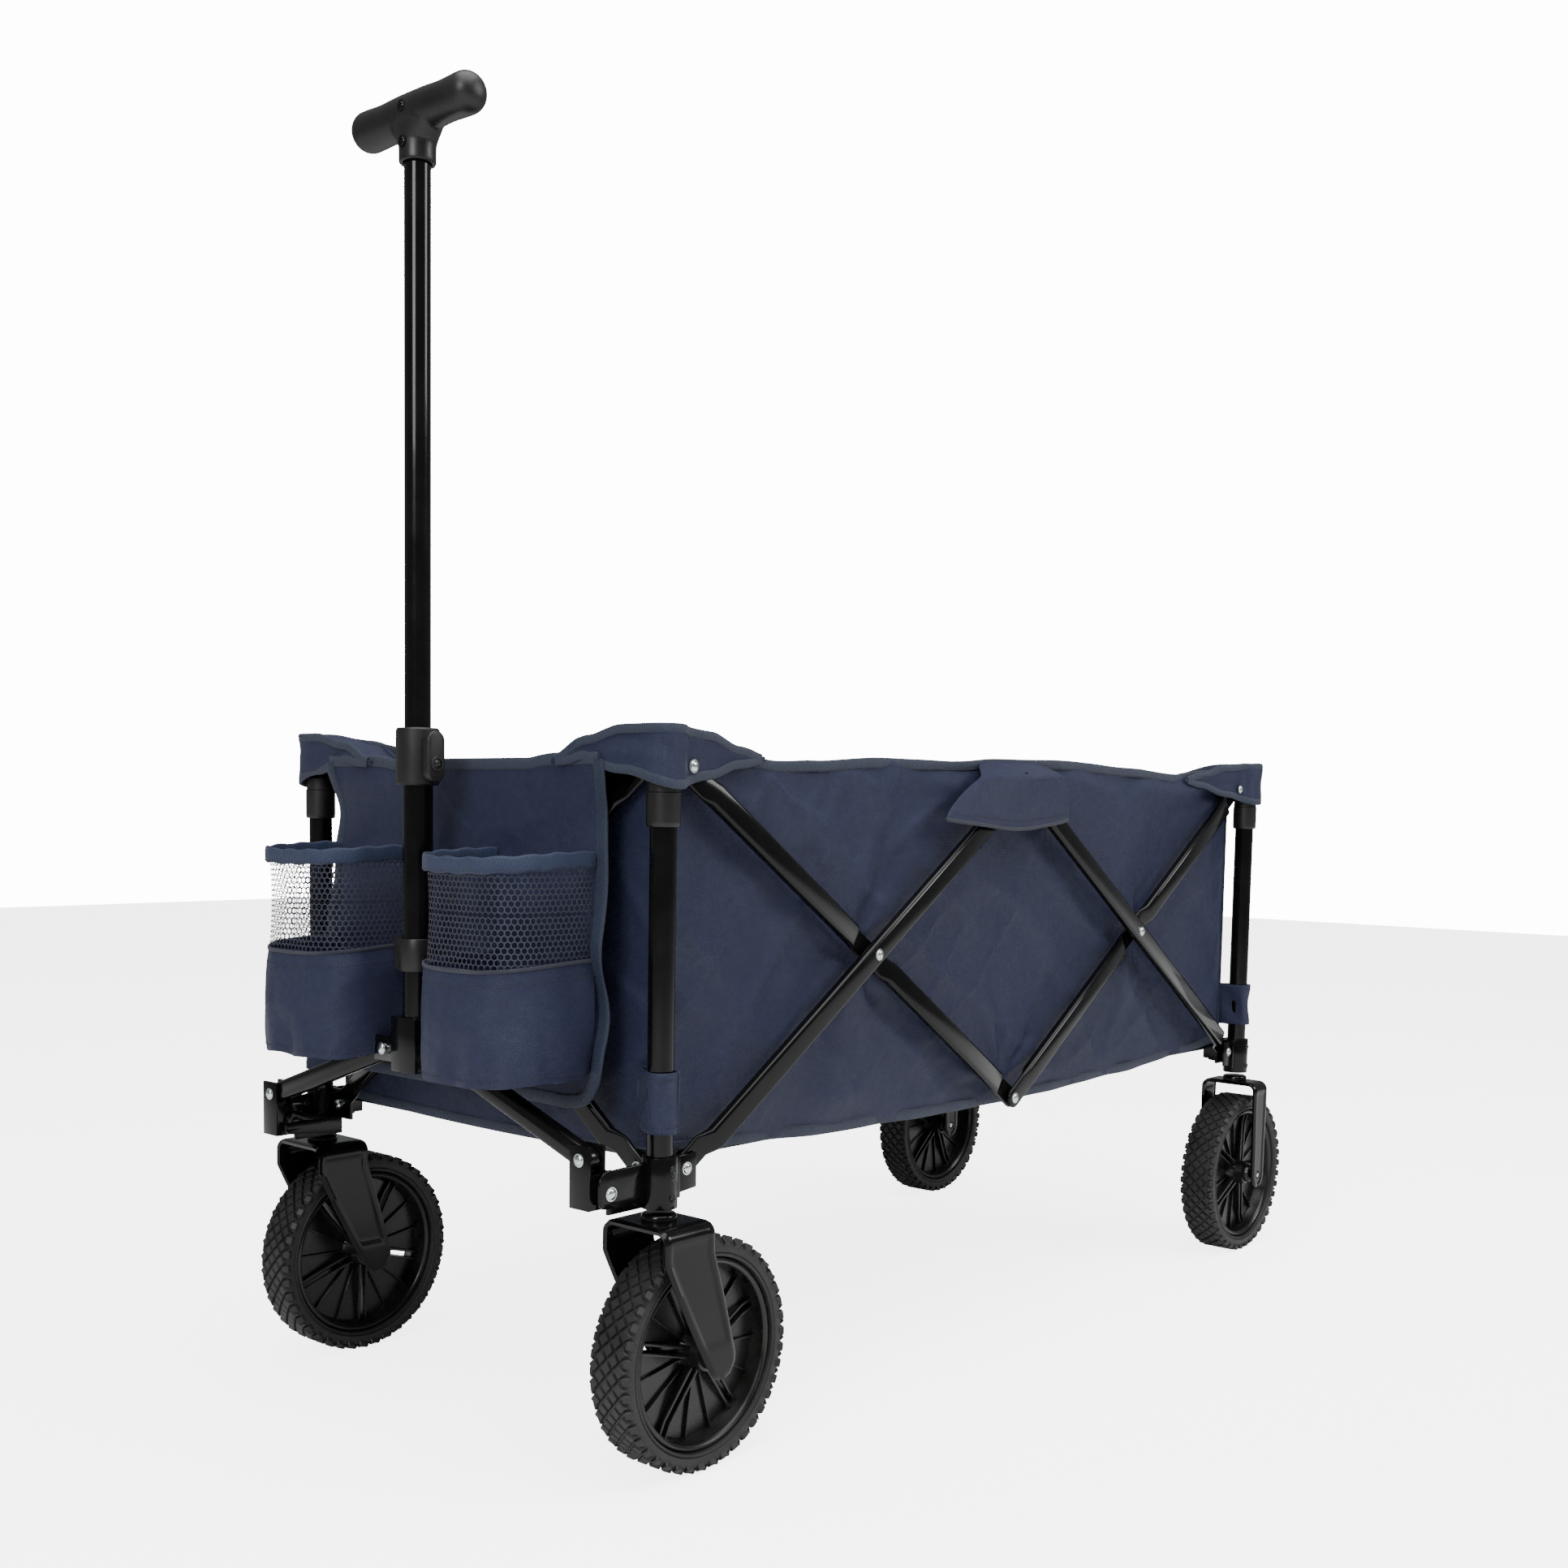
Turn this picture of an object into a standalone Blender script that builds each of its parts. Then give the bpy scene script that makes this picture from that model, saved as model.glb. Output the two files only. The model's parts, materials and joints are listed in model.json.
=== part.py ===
"""Folding utility wagon: a four-way scissor frame on telescoping corner posts, two trailing
swivel casters, two fixed rear wheels, a telescoping T-handle on a V-yoke and a fabric tub.

X runs along the length with the handle at -X, Y across, Z up; the wheels stand on Z = 0.
The frame is at rest fully open. Rivets, stitching, bindings and the tyre tread are left to
the visual script: here each piece has its real size, place and clearance.
"""

import math

import bmesh
import bpy
from mathutils import Matrix, Vector

# Clearances.
GAP = 0.0003
RUNNING = 0.0003

# Frame: corner posts and the pivots of the scissor bars.
POST_SPACING_X = 1.005
POST_SPACING_Y = 0.45
LOWER_PIVOT_Z = 0.245
UPPER_PIVOT_Z = 0.559
SIDE_PIVOT_INSET = 0.027
END_PIVOT_INSET = 0.025

# Telescoping corner posts.
POST_RADIUS = 0.0105
POST_WALL = 0.0012
POST_SLIDE = 0.0006
INNER_POST_RADIUS = POST_RADIUS - POST_WALL - POST_SLIDE
POST_OVERLAP = 0.24
SLEEVE_RADIUS = POST_RADIUS + 0.0030
SLEEVE_LENGTH = 0.0385
SLEEVE_LIP = 0.0125
CAP_HEIGHT = 0.023

# Corner brackets and the flange plates that carry the bars.
BRACKET_RADIUS = POST_RADIUS + 0.0037
BRACKET_RISE = 0.0135
BRACKET_DROP = 0.027
PLATE_FACE = -0.0043
PLATE_THICKNESS = 0.003
PLATE_HALF_HEIGHT = 0.0135
PLATE_MARGIN = 0.014

# Scissor bars: tubes with flattened ends, in two layers outside the flange plates. The layers
# are measured outward from the posts' axes, so the bars lie in line with the posts.
BAR_HALF_WIDTH = 0.010
END_BAR_HALF_WIDTH = 0.009
BAR_THICKNESS = 0.010
TAB_THICKNESS = 0.004
TAB_LENGTH = 0.026
TAB_BLEND = 0.010
SIDE_CRIMP_HALF = 0.024
END_CRIMP_HALF = 0.032

# Wheels and forks.
WHEEL_RADIUS = 0.095
TYRE_HALF_WIDTH = 0.0205
TYRE_DEPTH = 0.017
RIM_HALF_WIDTH = 0.016
RIM_DEPTH = 0.007
HUB_RADIUS = 0.0155
HUB_HALF_WIDTH = 0.0262
AXLE_RADIUS = 0.005
WEB_THICKNESS = 0.004
SLOTS = 5
SLOT_HALF_WIDTH = 0.0026
SLOT_MARGIN = 0.004
SLOT_LEDGE = 0.0004
RIB_THICKNESS = 0.0024
RIB_HALF_DEPTH = 0.009
CASTER_TRAIL = 0.038
FORK_TOP_Z = 0.2052
CROWN_THICKNESS = 0.0085
ARM_THICKNESS = 0.005
STEM_RADIUS = 0.005
STEM_TOP_Z = 0.2317

# Handle and yoke.
YOKE_REACH = 0.060
TILT_REACH = 0.051
TILT_Z = 0.236
CLEVIS_INSET = 0.018
CLEVIS_PIVOT_Z = 0.262
YOKE_PIVOT_Y = 0.038
YOKE_PIVOT_Z = 0.322
YOKE_BAR_HALF_WIDTH = 0.009
YOKE_BAR_THICKNESS = 0.012
YOKE_PLATE = 0.0025
CLEVIS_HALF = 0.0107
EAR_THICKNESS = 0.003
TILT_PIN_RADIUS = 0.004
OUTER_TUBE_RADIUS = 0.0125
OUTER_TUBE_WALL = 0.0012
TUBE_SLIDE = 0.0005
INNER_TUBE_RADIUS = OUTER_TUBE_RADIUS - OUTER_TUBE_WALL - TUBE_SLIDE
INNER_TUBE_WALL = 0.0012
TUBE_FOOT_Z = 0.310
COLLAR_TOP_Z = 0.591
COLLAR_LENGTH = 0.047
COLLAR_RADIUS = OUTER_TUBE_RADIUS + 0.0055
TUBE_ENGAGEMENT = 0.045
GRIP_Z = 1.080
GRIP_RADIUS = 0.0165
GRIP_LENGTH = 0.152
NECK_RADIUS = INNER_TUBE_RADIUS + 0.0042
NECK_LENGTH = 0.040
CLIP_Z = 0.404
CLIP_HEIGHT = 0.027

# Fabric tub, mat, apron and pockets.
WALL_THICKNESS = 0.003
WALL_CLEARANCE = 0.0045
RIM_Z = 0.584
HEM_Z = 0.246
MAT_THICKNESS = 0.004
MAT_Z = 0.250
APRON_CLEARANCE = 0.0050
APRON_THICKNESS = 0.0025
APRON_HALF_WIDTH = 0.178
APRON_HEM_Z = 0.290
POCKET_INNER_Y = 0.052
POCKET_WIDTH = 0.115
POCKET_DEPTH = 0.093
POCKET_FLOOR_Z = 0.329
POCKET_TOP_Z = 0.490
POCKET_CORNER = 0.035
POCKET_WALL = 0.0025

# Worked out from the driving dimensions.
PLATE_ROOT = PLATE_FACE - PLATE_THICKNESS
SIDE_LAYER = PLATE_FACE + GAP
OUTER_LAYER = SIDE_LAYER + TAB_THICKNESS + GAP
FRAME_REACH = OUTER_LAYER + BAR_THICKNESS
APRON_BACK = FRAME_REACH + APRON_CLEARANCE
APRON_FRONT = APRON_BACK + APRON_THICKNESS
POCKET_REACH = APRON_FRONT + GAP + POCKET_DEPTH
CENTRE_X = (POCKET_REACH - WHEEL_RADIUS) / 2
FRONT, REAR, RIGHT, LEFT = -1, 1, -1, 1
ARM_INNER = HUB_HALF_WIDTH + RUNNING + 0.001
SLEEVE_TOP_Z = UPPER_PIVOT_Z - 0.0065
BRACKET_BOTTOM_Z = LOWER_PIVOT_Z - BRACKET_DROP
UP = Vector((0, 0, 1))

FINISHES = {
    "frame_paint": ((0.012, 0.012, 0.013, 1), 0.22, 0.0),
    "plastic": ((0.018, 0.017, 0.017, 1), 0.55, 0.0),
    "rubber": ((0.020, 0.020, 0.020, 1), 0.75, 0.0),
    "fabric": ((0.042, 0.050, 0.107, 1), 0.85, 0.0),
    "mat_fabric": ((0.036, 0.043, 0.094, 1), 0.88, 0.0),
}


def post_x(end):
    return CENTRE_X + end * POST_SPACING_X / 2


def post_y(side):
    return side * POST_SPACING_Y / 2


def finish_material(name):
    """The Principled material of that finish, made the first time it is asked for."""
    if name in bpy.data.materials:
        return bpy.data.materials[name]
    colour, roughness, metallic = FINISHES[name]
    material = bpy.data.materials.new(name)
    material.use_nodes = True
    shader = material.node_tree.nodes["Principled BSDF"]
    shader.inputs["Base Color"].default_value = colour
    shader.inputs["Roughness"].default_value = roughness
    shader.inputs["Metallic"].default_value = metallic
    return material


def mesh_object(name, mesh, pivot):
    """An object whose origin is at the pivot, from a bmesh in world coordinates."""
    bmesh.ops.translate(mesh, verts=mesh.verts, vec=-pivot)
    bmesh.ops.recalc_face_normals(mesh, faces=mesh.faces)
    data = bpy.data.meshes.new(name)
    mesh.to_mesh(data)
    mesh.free()
    piece = bpy.data.objects.new(name, data)
    piece.location = pivot
    return piece


def part(name, finish, pivot, solids, cuts=()):
    """One named sub-part: its solids joined, less its cuts, turning about its pivot."""
    pivot = Vector(pivot)
    piece = mesh_object(name, solids[0], pivot)
    bpy.context.scene.collection.objects.link(piece)
    piece.data.materials.append(finish_material(finish))
    operands = [("UNION", mesh) for mesh in solids[1:]] + [("DIFFERENCE", mesh) for mesh in cuts]
    for number, (operation, mesh) in enumerate(operands):
        helper = mesh_object(f"{name}_operand_{number}", mesh, pivot)
        helper.hide_render = True
        helper.display_type = "WIRE"
        bpy.context.scene.collection.objects.link(helper)
        modifier = piece.modifiers.new(f"operand_{number}", "BOOLEAN")
        modifier.operation = operation
        modifier.object = helper
    return piece


def loft(sections):
    """A closed solid through sections of equal point counts."""
    mesh = bmesh.new()
    rings = [[mesh.verts.new(point) for point in section] for section in sections]
    for low, high in zip(rings, rings[1:]):
        for k, vert in enumerate(low):
            after = (k + 1) % len(low)
            mesh.faces.new((vert, low[after], high[after], high[k]))
    mesh.faces.new(reversed(rings[0]))
    mesh.faces.new(rings[-1])
    return mesh


def box(low, high):
    """An upright box between two corners."""
    low, high = Vector(map(min, low, high)), Vector(map(max, low, high))
    corners = [(low.x, low.y), (high.x, low.y), (high.x, high.y), (low.x, high.y)]
    return loft([[Vector((x, y, z)) for x, y in corners] for z in (low.z, high.z)])


def prism(outline, thickness_axis, low, high):
    """A flat plate: the outline's (across, up) points, from low to high along X or Y."""
    if thickness_axis == "Y":
        return loft([[Vector((a, level, z)) for a, z in outline] for level in (low, high)])
    return loft([[Vector((level, a, z)) for a, z in outline] for level in (low, high)])


def lathe(profile, base, axis, segments=24):
    """A turned solid. The (radius, height) profile starts and ends on the axis, or rings it."""
    mesh = bmesh.new()
    spin = Vector(axis).to_track_quat("Z", "Y").to_matrix().to_4x4()
    place = Matrix.Translation(Vector(base)) @ spin
    rings = []
    for radius, height in profile:
        count = segments if radius > 0 else 1
        angles = [2 * math.pi * k / count for k in range(count)]
        points = [Vector((radius * math.cos(a), radius * math.sin(a), height)) for a in angles]
        rings.append([mesh.verts.new(place @ point) for point in points])
    hollow = profile[0][0] > 0
    upper = rings[1:] + rings[:1] if hollow else rings[1:]
    for low, high in zip(rings, upper):
        for k in range(segments):
            after = (k + 1) % segments
            quad = (low[k % len(low)], low[after % len(low)])
            quad += (high[after % len(high)], high[k % len(high)])
            mesh.faces.new(list(dict.fromkeys(quad)))
    return mesh


def rod(radius, base, axis, length, segments=24):
    """A plain round bar."""
    profile = [(0, 0), (radius, 0), (radius, length), (0, length)]
    return lathe(profile, base, axis, segments)


def pipe(outer, inner, base, axis, length, segments=24):
    """A plain round tube with open ends."""
    profile = [(inner, 0), (outer, 0), (outer, length), (inner, length)]
    return lathe(profile, base, axis, segments)


def arc(centre, radius, start, end, steps=8):
    """Points on a circle from one angle to another, in degrees."""
    angles = [math.radians(start + (end - start) * k / steps) for k in range(steps + 1)]
    return [(centre[0] + radius * math.cos(a), centre[1] + radius * math.sin(a)) for a in angles]


def bend(start, pull, end, steps=6):
    """Points of a quadratic curve after its start, up to and with its end."""
    points = []
    for k in range(1, steps + 1):
        t = k / steps
        weights = ((1 - t) ** 2, 2 * t * (1 - t), t**2)
        points.append(tuple(sum(w * p[n] for w, p in zip(weights, (start, pull, end))) for n in (0, 1)))
    return points


def rounded_section(half_width, low, high, corner, steps=3):
    """A rounded rectangle of (across, outward) points."""
    corner = min(corner, 0.9 * half_width, 0.45 * (high - low))
    across, points = half_width - corner, []
    for centre, start in (
        ((across, high - corner), 0),
        ((-across, high - corner), 90),
        ((-across, low + corner), 180),
        ((across, low + corner), 270),
    ):
        points += arc(centre, corner, start, start + 90, steps)
    return points


def bar(low, high, outward, half_width, layers, crimp_half=None):
    """A tube with flattened ends from one pivot to the other. layers gives the (inner, outer)
    faces of its low tab, its body and its high tab, measured outward from the pivots. A bar
    that is crossed on its outer side is pressed down to its inner face at its middle."""
    low, high, outward = Vector(low), Vector(high), Vector(outward)
    along = (high - low).normalized()
    across = outward.cross(along)
    length = (high - low).length
    low_tab, body, high_tab = layers
    steps = [math.radians(angle) for angle in (10, 30, 50, 70, 90)]
    stations = [(-half_width * math.cos(a), half_width * math.sin(a), low_tab) for a in steps]
    stations += [(TAB_LENGTH, half_width, low_tab), (TAB_LENGTH + TAB_BLEND, half_width, body)]
    if crimp_half:
        pressed = (body[0], body[0] + TAB_THICKNESS)
        middle = length / 2
        for offset, faces in (
            (-crimp_half - TAB_BLEND, body),
            (-crimp_half, pressed),
            (crimp_half, pressed),
            (crimp_half + TAB_BLEND, body),
        ):
            stations.append((middle + offset, half_width, faces))
    stations.append((length - TAB_LENGTH - TAB_BLEND, half_width, body))
    stations.append((length - TAB_LENGTH, half_width, high_tab))
    stations += [
        (length + half_width * math.cos(a), half_width * math.sin(a), high_tab) for a in reversed(steps)
    ]
    sections = []
    for distance, half, faces in stations:
        outline = rounded_section(half, faces[0], faces[1], 0.0035)
        sections.append([low + along * distance + across * a + outward * w for a, w in outline])
    return loft(sections)


def lower_post(end, side, name):
    """The outer tube of a telescoping corner post, seated in its bracket."""
    x, y = post_x(end), post_y(side)
    foot = BRACKET_BOTTOM_Z + 0.017
    top = SLEEVE_TOP_Z - SLEEVE_LIP - GAP
    tube = pipe(POST_RADIUS, POST_RADIUS - POST_WALL, (x, y, foot), UP, top - foot)
    part(f"lower_post_{name}", "frame_paint", (x, y, LOWER_PIVOT_Z), [tube])


def post_sleeve(end, side, name):
    """The plastic guide on the top of the outer tube that the inner tube slides through."""
    x, y = post_x(end), post_y(side)
    bore, guide = POST_RADIUS + GAP, INNER_POST_RADIUS + RUNNING
    step = SLEEVE_LENGTH - SLEEVE_LIP
    profile = [(bore, 0), (SLEEVE_RADIUS, 0), (SLEEVE_RADIUS, SLEEVE_LENGTH), (guide, SLEEVE_LENGTH)]
    profile += [(guide, step), (bore, step)]
    turned = lathe(profile, (x, y, SLEEVE_TOP_Z - SLEEVE_LENGTH), UP)
    part(f"post_sleeve_{name}", "plastic", (x, y, LOWER_PIVOT_Z), [turned])


def flange_plates(end, side, pivot_z, low, high):
    """The two plates of a corner: one outside the long side, one outside the end."""
    x, y = post_x(end), post_y(side)
    side_reach = SIDE_PIVOT_INSET + PLATE_MARGIN
    end_reach = END_PIVOT_INSET + PLATE_MARGIN
    side_plate = box(
        (x, y + side * PLATE_ROOT, pivot_z + low),
        (x - end * side_reach, y + side * PLATE_FACE, pivot_z + high),
    )
    end_plate = box(
        (x + end * PLATE_ROOT, y, pivot_z + low),
        (x + end * PLATE_FACE, y - side * end_reach, pivot_z + high),
    )
    return [side_plate, end_plate]


def upper_post(end, side, name):
    """The inner tube with the corner head that the upper bar ends are riveted to."""
    x, y = post_x(end), post_y(side)
    foot = UPPER_PIVOT_Z - POST_OVERLAP
    head_foot = SLEEVE_TOP_Z + 0.0035
    tube = rod(INNER_POST_RADIUS, (x, y, foot), UP, head_foot + CAP_HEIGHT / 2 - foot)
    head = rod(SLEEVE_RADIUS, (x, y, head_foot), UP, CAP_HEIGHT)
    plates = flange_plates(end, side, UPPER_PIVOT_Z, -0.006, PLATE_HALF_HEIGHT)
    part(f"upper_post_{name}", "frame_paint", (x, y, UPPER_PIVOT_Z), [head, tube] + plates)


def yoke_ears(side):
    """The two ears under a front bracket that the handle's clevis tilts between."""
    x, y = post_x(FRONT), post_y(side) - side * CLEVIS_INSET
    inner = CLEVIS_HALF + GAP
    tilt_x = x - TILT_REACH
    low, top, radius = BRACKET_BOTTOM_Z + 0.001, LOWER_PIVOT_Z - END_BAR_HALF_WIDTH - 0.0007, 0.010
    root_x = x - FRAME_REACH - 0.0025
    outline = [(x, low)] + [(x, top), (root_x, top)]
    outline += arc((tilt_x, TILT_Z), radius, 90, 270) + [(tilt_x, low)]
    outer = inner + EAR_THICKNESS
    ears = [prism(outline, "Y", y + sign * inner, y + sign * outer) for sign in (-1, 1)]
    web = box((x, y - outer, low), (root_x, y + outer, top))
    return ears + [web]


def tilt_pin(side, radius):
    """A round bar through both ears on the tilt axis: the clevis's pin, or the ears' bore."""
    y = post_y(side) - side * CLEVIS_INSET
    half = CLEVIS_HALF + GAP + EAR_THICKNESS
    return rod(radius, (post_x(FRONT) - TILT_REACH, y - half, TILT_Z), (0, 1, 0), 2 * half)


def corner_bracket(end, side, name):
    """The pressed housing round the post's foot, with its flange plates and caster socket."""
    x, y = post_x(end), post_y(side)
    height = BRACKET_DROP + BRACKET_RISE
    housing = rod(BRACKET_RADIUS, (x, y, BRACKET_BOTTOM_Z), UP, height)
    plates = flange_plates(end, side, LOWER_PIVOT_Z, -PLATE_HALF_HEIGHT, PLATE_HALF_HEIGHT)
    ears, bores = [], []
    if end == FRONT:
        ears, bores = yoke_ears(side), [tilt_pin(side, TILT_PIN_RADIUS + RUNNING)]
    seat = rod(POST_RADIUS + GAP, (x, y, BRACKET_BOTTOM_Z + 0.017 - GAP), UP, height)
    socket_top = STEM_TOP_Z + GAP
    mouth = BRACKET_BOTTOM_Z - 0.01
    socket = rod(STEM_RADIUS + RUNNING, (x, y, mouth), UP, socket_top - mouth)
    solids, cuts = [housing] + plates + ears, [seat, socket] + bores
    part(f"corner_bracket_{name}", "frame_paint", (x, y, LOWER_PIVOT_Z), solids, cuts)


def side_bars(side, side_name):
    """The two crossed pairs of one long side."""
    y = post_y(side)
    outward = (0, side, 0)
    inner = (SIDE_LAYER, SIDE_LAYER + BAR_THICKNESS)
    outer = (OUTER_LAYER, FRAME_REACH)
    flat = (SIDE_LAYER, SIDE_LAYER + TAB_THICKNESS)
    second = (OUTER_LAYER, OUTER_LAYER + TAB_THICKNESS)
    third = (second[1] + GAP, second[1] + GAP + TAB_THICKNESS)
    for end, end_name in ((FRONT, "front"), (REAR, "rear")):
        corner = post_x(end) - end * SIDE_PIVOT_INSET
        middle_top = second if end == FRONT else third
        middle_bottom = flat if end == FRONT else second
        rising = bar(
            (corner, y, LOWER_PIVOT_Z),
            (CENTRE_X, y, UPPER_PIVOT_Z),
            outward,
            BAR_HALF_WIDTH,
            (flat, outer, middle_top),
        )
        falling = bar(
            (corner, y, UPPER_PIVOT_Z),
            (CENTRE_X, y, LOWER_PIVOT_Z),
            outward,
            BAR_HALF_WIDTH,
            (flat, inner, middle_bottom),
            SIDE_CRIMP_HALF,
        )
        name = f"{side_name}_{end_name}"
        part(f"side_bar_rising_{name}", "frame_paint", (corner, y, LOWER_PIVOT_Z), [rising])
        part(f"side_bar_falling_{name}", "frame_paint", (corner, y, UPPER_PIVOT_Z), [falling])


def end_bars(end, end_name):
    """The crossed pair of one end; the left-leaning bar passes outside the other."""
    x = post_x(end)
    outward = (end, 0, 0)
    right = post_y(RIGHT) + END_PIVOT_INSET
    left = post_y(LEFT) - END_PIVOT_INSET
    inner = (SIDE_LAYER, SIDE_LAYER + BAR_THICKNESS)
    outer = (OUTER_LAYER, FRAME_REACH)
    flat = (SIDE_LAYER, SIDE_LAYER + TAB_THICKNESS)
    for name, low_y, high_y, body, crimp in (
        ("right_to_left", right, left, outer, None),
        ("left_to_right", left, right, inner, END_CRIMP_HALF),
    ):
        low, high = (x, low_y, LOWER_PIVOT_Z), (x, high_y, UPPER_PIVOT_Z)
        shape = bar(low, high, outward, END_BAR_HALF_WIDTH, (flat, body, flat), crimp)
        part(f"end_bar_{end_name}_{name}", "frame_paint", low, [shape])


def yoke_clevis(side, name):
    """The U-channel that tilts in the bracket's ears and holds the foot of a yoke bar."""
    x = post_x(FRONT) - YOKE_REACH
    y = post_y(side) - side * CLEVIS_INSET
    plate_in = YOKE_BAR_THICKNESS / 2 + GAP
    plate_out = plate_in + YOKE_PLATE
    base_low, base_top = TILT_Z - 0.012, CLEVIS_PIVOT_Z - YOKE_BAR_HALF_WIDTH - 0.002
    top = CLEVIS_PIVOT_Z + 0.011
    rear = post_x(FRONT) - TILT_REACH + 0.0095
    base = box((x - plate_out, y - CLEVIS_HALF, base_low), (rear, y + CLEVIS_HALF, base_top))
    cheeks = [
        box(
            (x + sign * plate_in, y - CLEVIS_HALF, base_top - 0.001),
            (x + sign * plate_out, y + CLEVIS_HALF, top),
        )
        for sign in (-1, 1)
    ]
    pin = tilt_pin(side, TILT_PIN_RADIUS)
    pivot = (post_x(FRONT) - TILT_REACH, y, TILT_Z)
    part(f"yoke_clevis_{name}", "frame_paint", pivot, [base] + cheeks + [pin])


def yoke_bar(side, name):
    """One arm of the V between a front corner and the foot of the handle."""
    x = post_x(FRONT) - YOKE_REACH
    low = (x, post_y(side) - side * CLEVIS_INSET, CLEVIS_PIVOT_Z)
    high = (x, side * YOKE_PIVOT_Y, YOKE_PIVOT_Z)
    half = YOKE_BAR_THICKNESS / 2
    faces = (-half, half)
    part(
        f"yoke_bar_{name}",
        "frame_paint",
        low,
        [bar(low, high, (-1, 0, 0), YOKE_BAR_HALF_WIDTH, (faces, faces, faces))],
    )


def yoke_bracket():
    """The bracket that joins both yoke bars and holds the handle's outer tube."""
    x = post_x(FRONT) - YOKE_REACH
    plate_in = YOKE_BAR_THICKNESS / 2 + GAP
    reach = YOKE_PIVOT_Y + 0.011
    block_half = OUTER_TUBE_RADIUS + 0.0035
    low, top = TUBE_FOOT_Z - 0.004, YOKE_PIVOT_Z + 0.030
    block = box((x - block_half, -block_half, low), (x + block_half, block_half, top))
    cheeks = [
        box(
            (x + sign * plate_in, -reach, YOKE_PIVOT_Z - 0.011),
            (x + sign * (plate_in + YOKE_PLATE), reach, YOKE_PIVOT_Z + 0.011),
        )
        for sign in (-1, 1)
    ]
    seat = rod(OUTER_TUBE_RADIUS + GAP, (x, 0, TUBE_FOOT_Z - GAP), UP, 0.1)
    part("yoke_bracket", "frame_paint", (x, -YOKE_PIVOT_Y, YOKE_PIVOT_Z), [block] + cheeks, [seat])


def handle():
    """The telescoping handle: two tubes, the clamp collar, the rest clip and the T-grip."""
    x = post_x(FRONT) - YOKE_REACH
    pivot = (x, 0, TUBE_FOOT_Z)
    tube_top = COLLAR_TOP_Z - 0.009
    bore = OUTER_TUBE_RADIUS - OUTER_TUBE_WALL
    outer = pipe(OUTER_TUBE_RADIUS, bore, (x, 0, TUBE_FOOT_Z), UP, tube_top - TUBE_FOOT_Z)
    part("handle_outer_tube", "frame_paint", pivot, [outer])

    wide, narrow = OUTER_TUBE_RADIUS + GAP, INNER_TUBE_RADIUS + RUNNING
    step = COLLAR_LENGTH - 0.009 + GAP
    profile = [(wide, 0), (COLLAR_RADIUS, 0), (COLLAR_RADIUS, COLLAR_LENGTH), (narrow, COLLAR_LENGTH)]
    profile += [(narrow, step), (wide, step)]
    collar_foot = COLLAR_TOP_Z - COLLAR_LENGTH
    turned = lathe(profile, (x, 0, collar_foot), UP)
    boss = box(
        (x - 0.009, -COLLAR_RADIUS + 0.002, collar_foot + 0.010),
        (x + 0.009, -COLLAR_RADIUS - 0.007, collar_foot + 0.038),
    )
    part("handle_collar", "plastic", pivot, [turned, boss])

    clip_bore = OUTER_TUBE_RADIUS + GAP
    clip_foot = CLIP_Z - CLIP_HEIGHT / 2
    ring = pipe(clip_bore + 0.003, clip_bore, (x, 0, clip_foot), UP, CLIP_HEIGHT)
    lug = box(
        (x - 0.007, clip_bore + 0.001, clip_foot),
        (x + 0.007, clip_bore + 0.011, clip_foot + CLIP_HEIGHT),
    )
    part("handle_rest_clip", "plastic", pivot, [ring, lug])

    neck_foot = GRIP_Z - NECK_LENGTH
    inner_foot = COLLAR_TOP_Z - TUBE_ENGAGEMENT
    inner_top = GRIP_Z - 0.010
    bore = INNER_TUBE_RADIUS - INNER_TUBE_WALL
    inner = pipe(INNER_TUBE_RADIUS, bore, (x, 0, inner_foot), UP, inner_top - inner_foot)
    part("handle_inner_tube", "frame_paint", (x, 0, COLLAR_TOP_Z), [inner])

    half = GRIP_LENGTH / 2
    turns = [math.radians(angle) for angle in (0, 25, 50, 70)]
    dome = [(GRIP_RADIUS * math.cos(a), GRIP_RADIUS * math.sin(a)) for a in turns]
    shaft = half - GRIP_RADIUS
    profile = [(0, -half)] + [(r, -shaft - h) for r, h in reversed(dome)]
    profile += [(r, shaft + h) for r, h in dome] + [(0, half)]
    grip = lathe(profile, (x, 0, GRIP_Z), (0, 1, 0))
    neck = rod(NECK_RADIUS, (x, 0, neck_foot), UP, NECK_LENGTH)
    seat = rod(INNER_TUBE_RADIUS + GAP, (x, 0, neck_foot - 0.01), UP, inner_top + GAP - neck_foot + 0.01)
    part("handle_grip", "plastic", (x, 0, COLLAR_TOP_Z), [grip, neck], [seat])


def arm_outline(x, end):
    """The side view of a fork arm: swept back to a trailing axle, or straight down at the rear."""
    if end == REAR:
        foot = arc((x, WHEEL_RADIUS), 0.013, 180, 360)
        return [(x - 0.017, FORK_TOP_Z)] + foot + [(x + 0.017, FORK_TOP_Z)]
    axle = (x + CASTER_TRAIL, WHEEL_RADIUS)
    foot = arc(axle, 0.014, 205, 385)
    shoulder = [(x - 0.027, FORK_TOP_Z), (x - 0.026, FORK_TOP_Z - 0.025)]
    front_edge = bend(shoulder[-1], (x - 0.004, WHEEL_RADIUS + 0.040), foot[0])
    brow = (x + 0.027, FORK_TOP_Z - 0.020)
    rear_edge = bend(foot[-1], (x + 0.040, WHEEL_RADIUS + 0.045), brow)
    return shoulder + front_edge + foot[1:] + rear_edge + [(x + 0.027, FORK_TOP_Z)]


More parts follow.
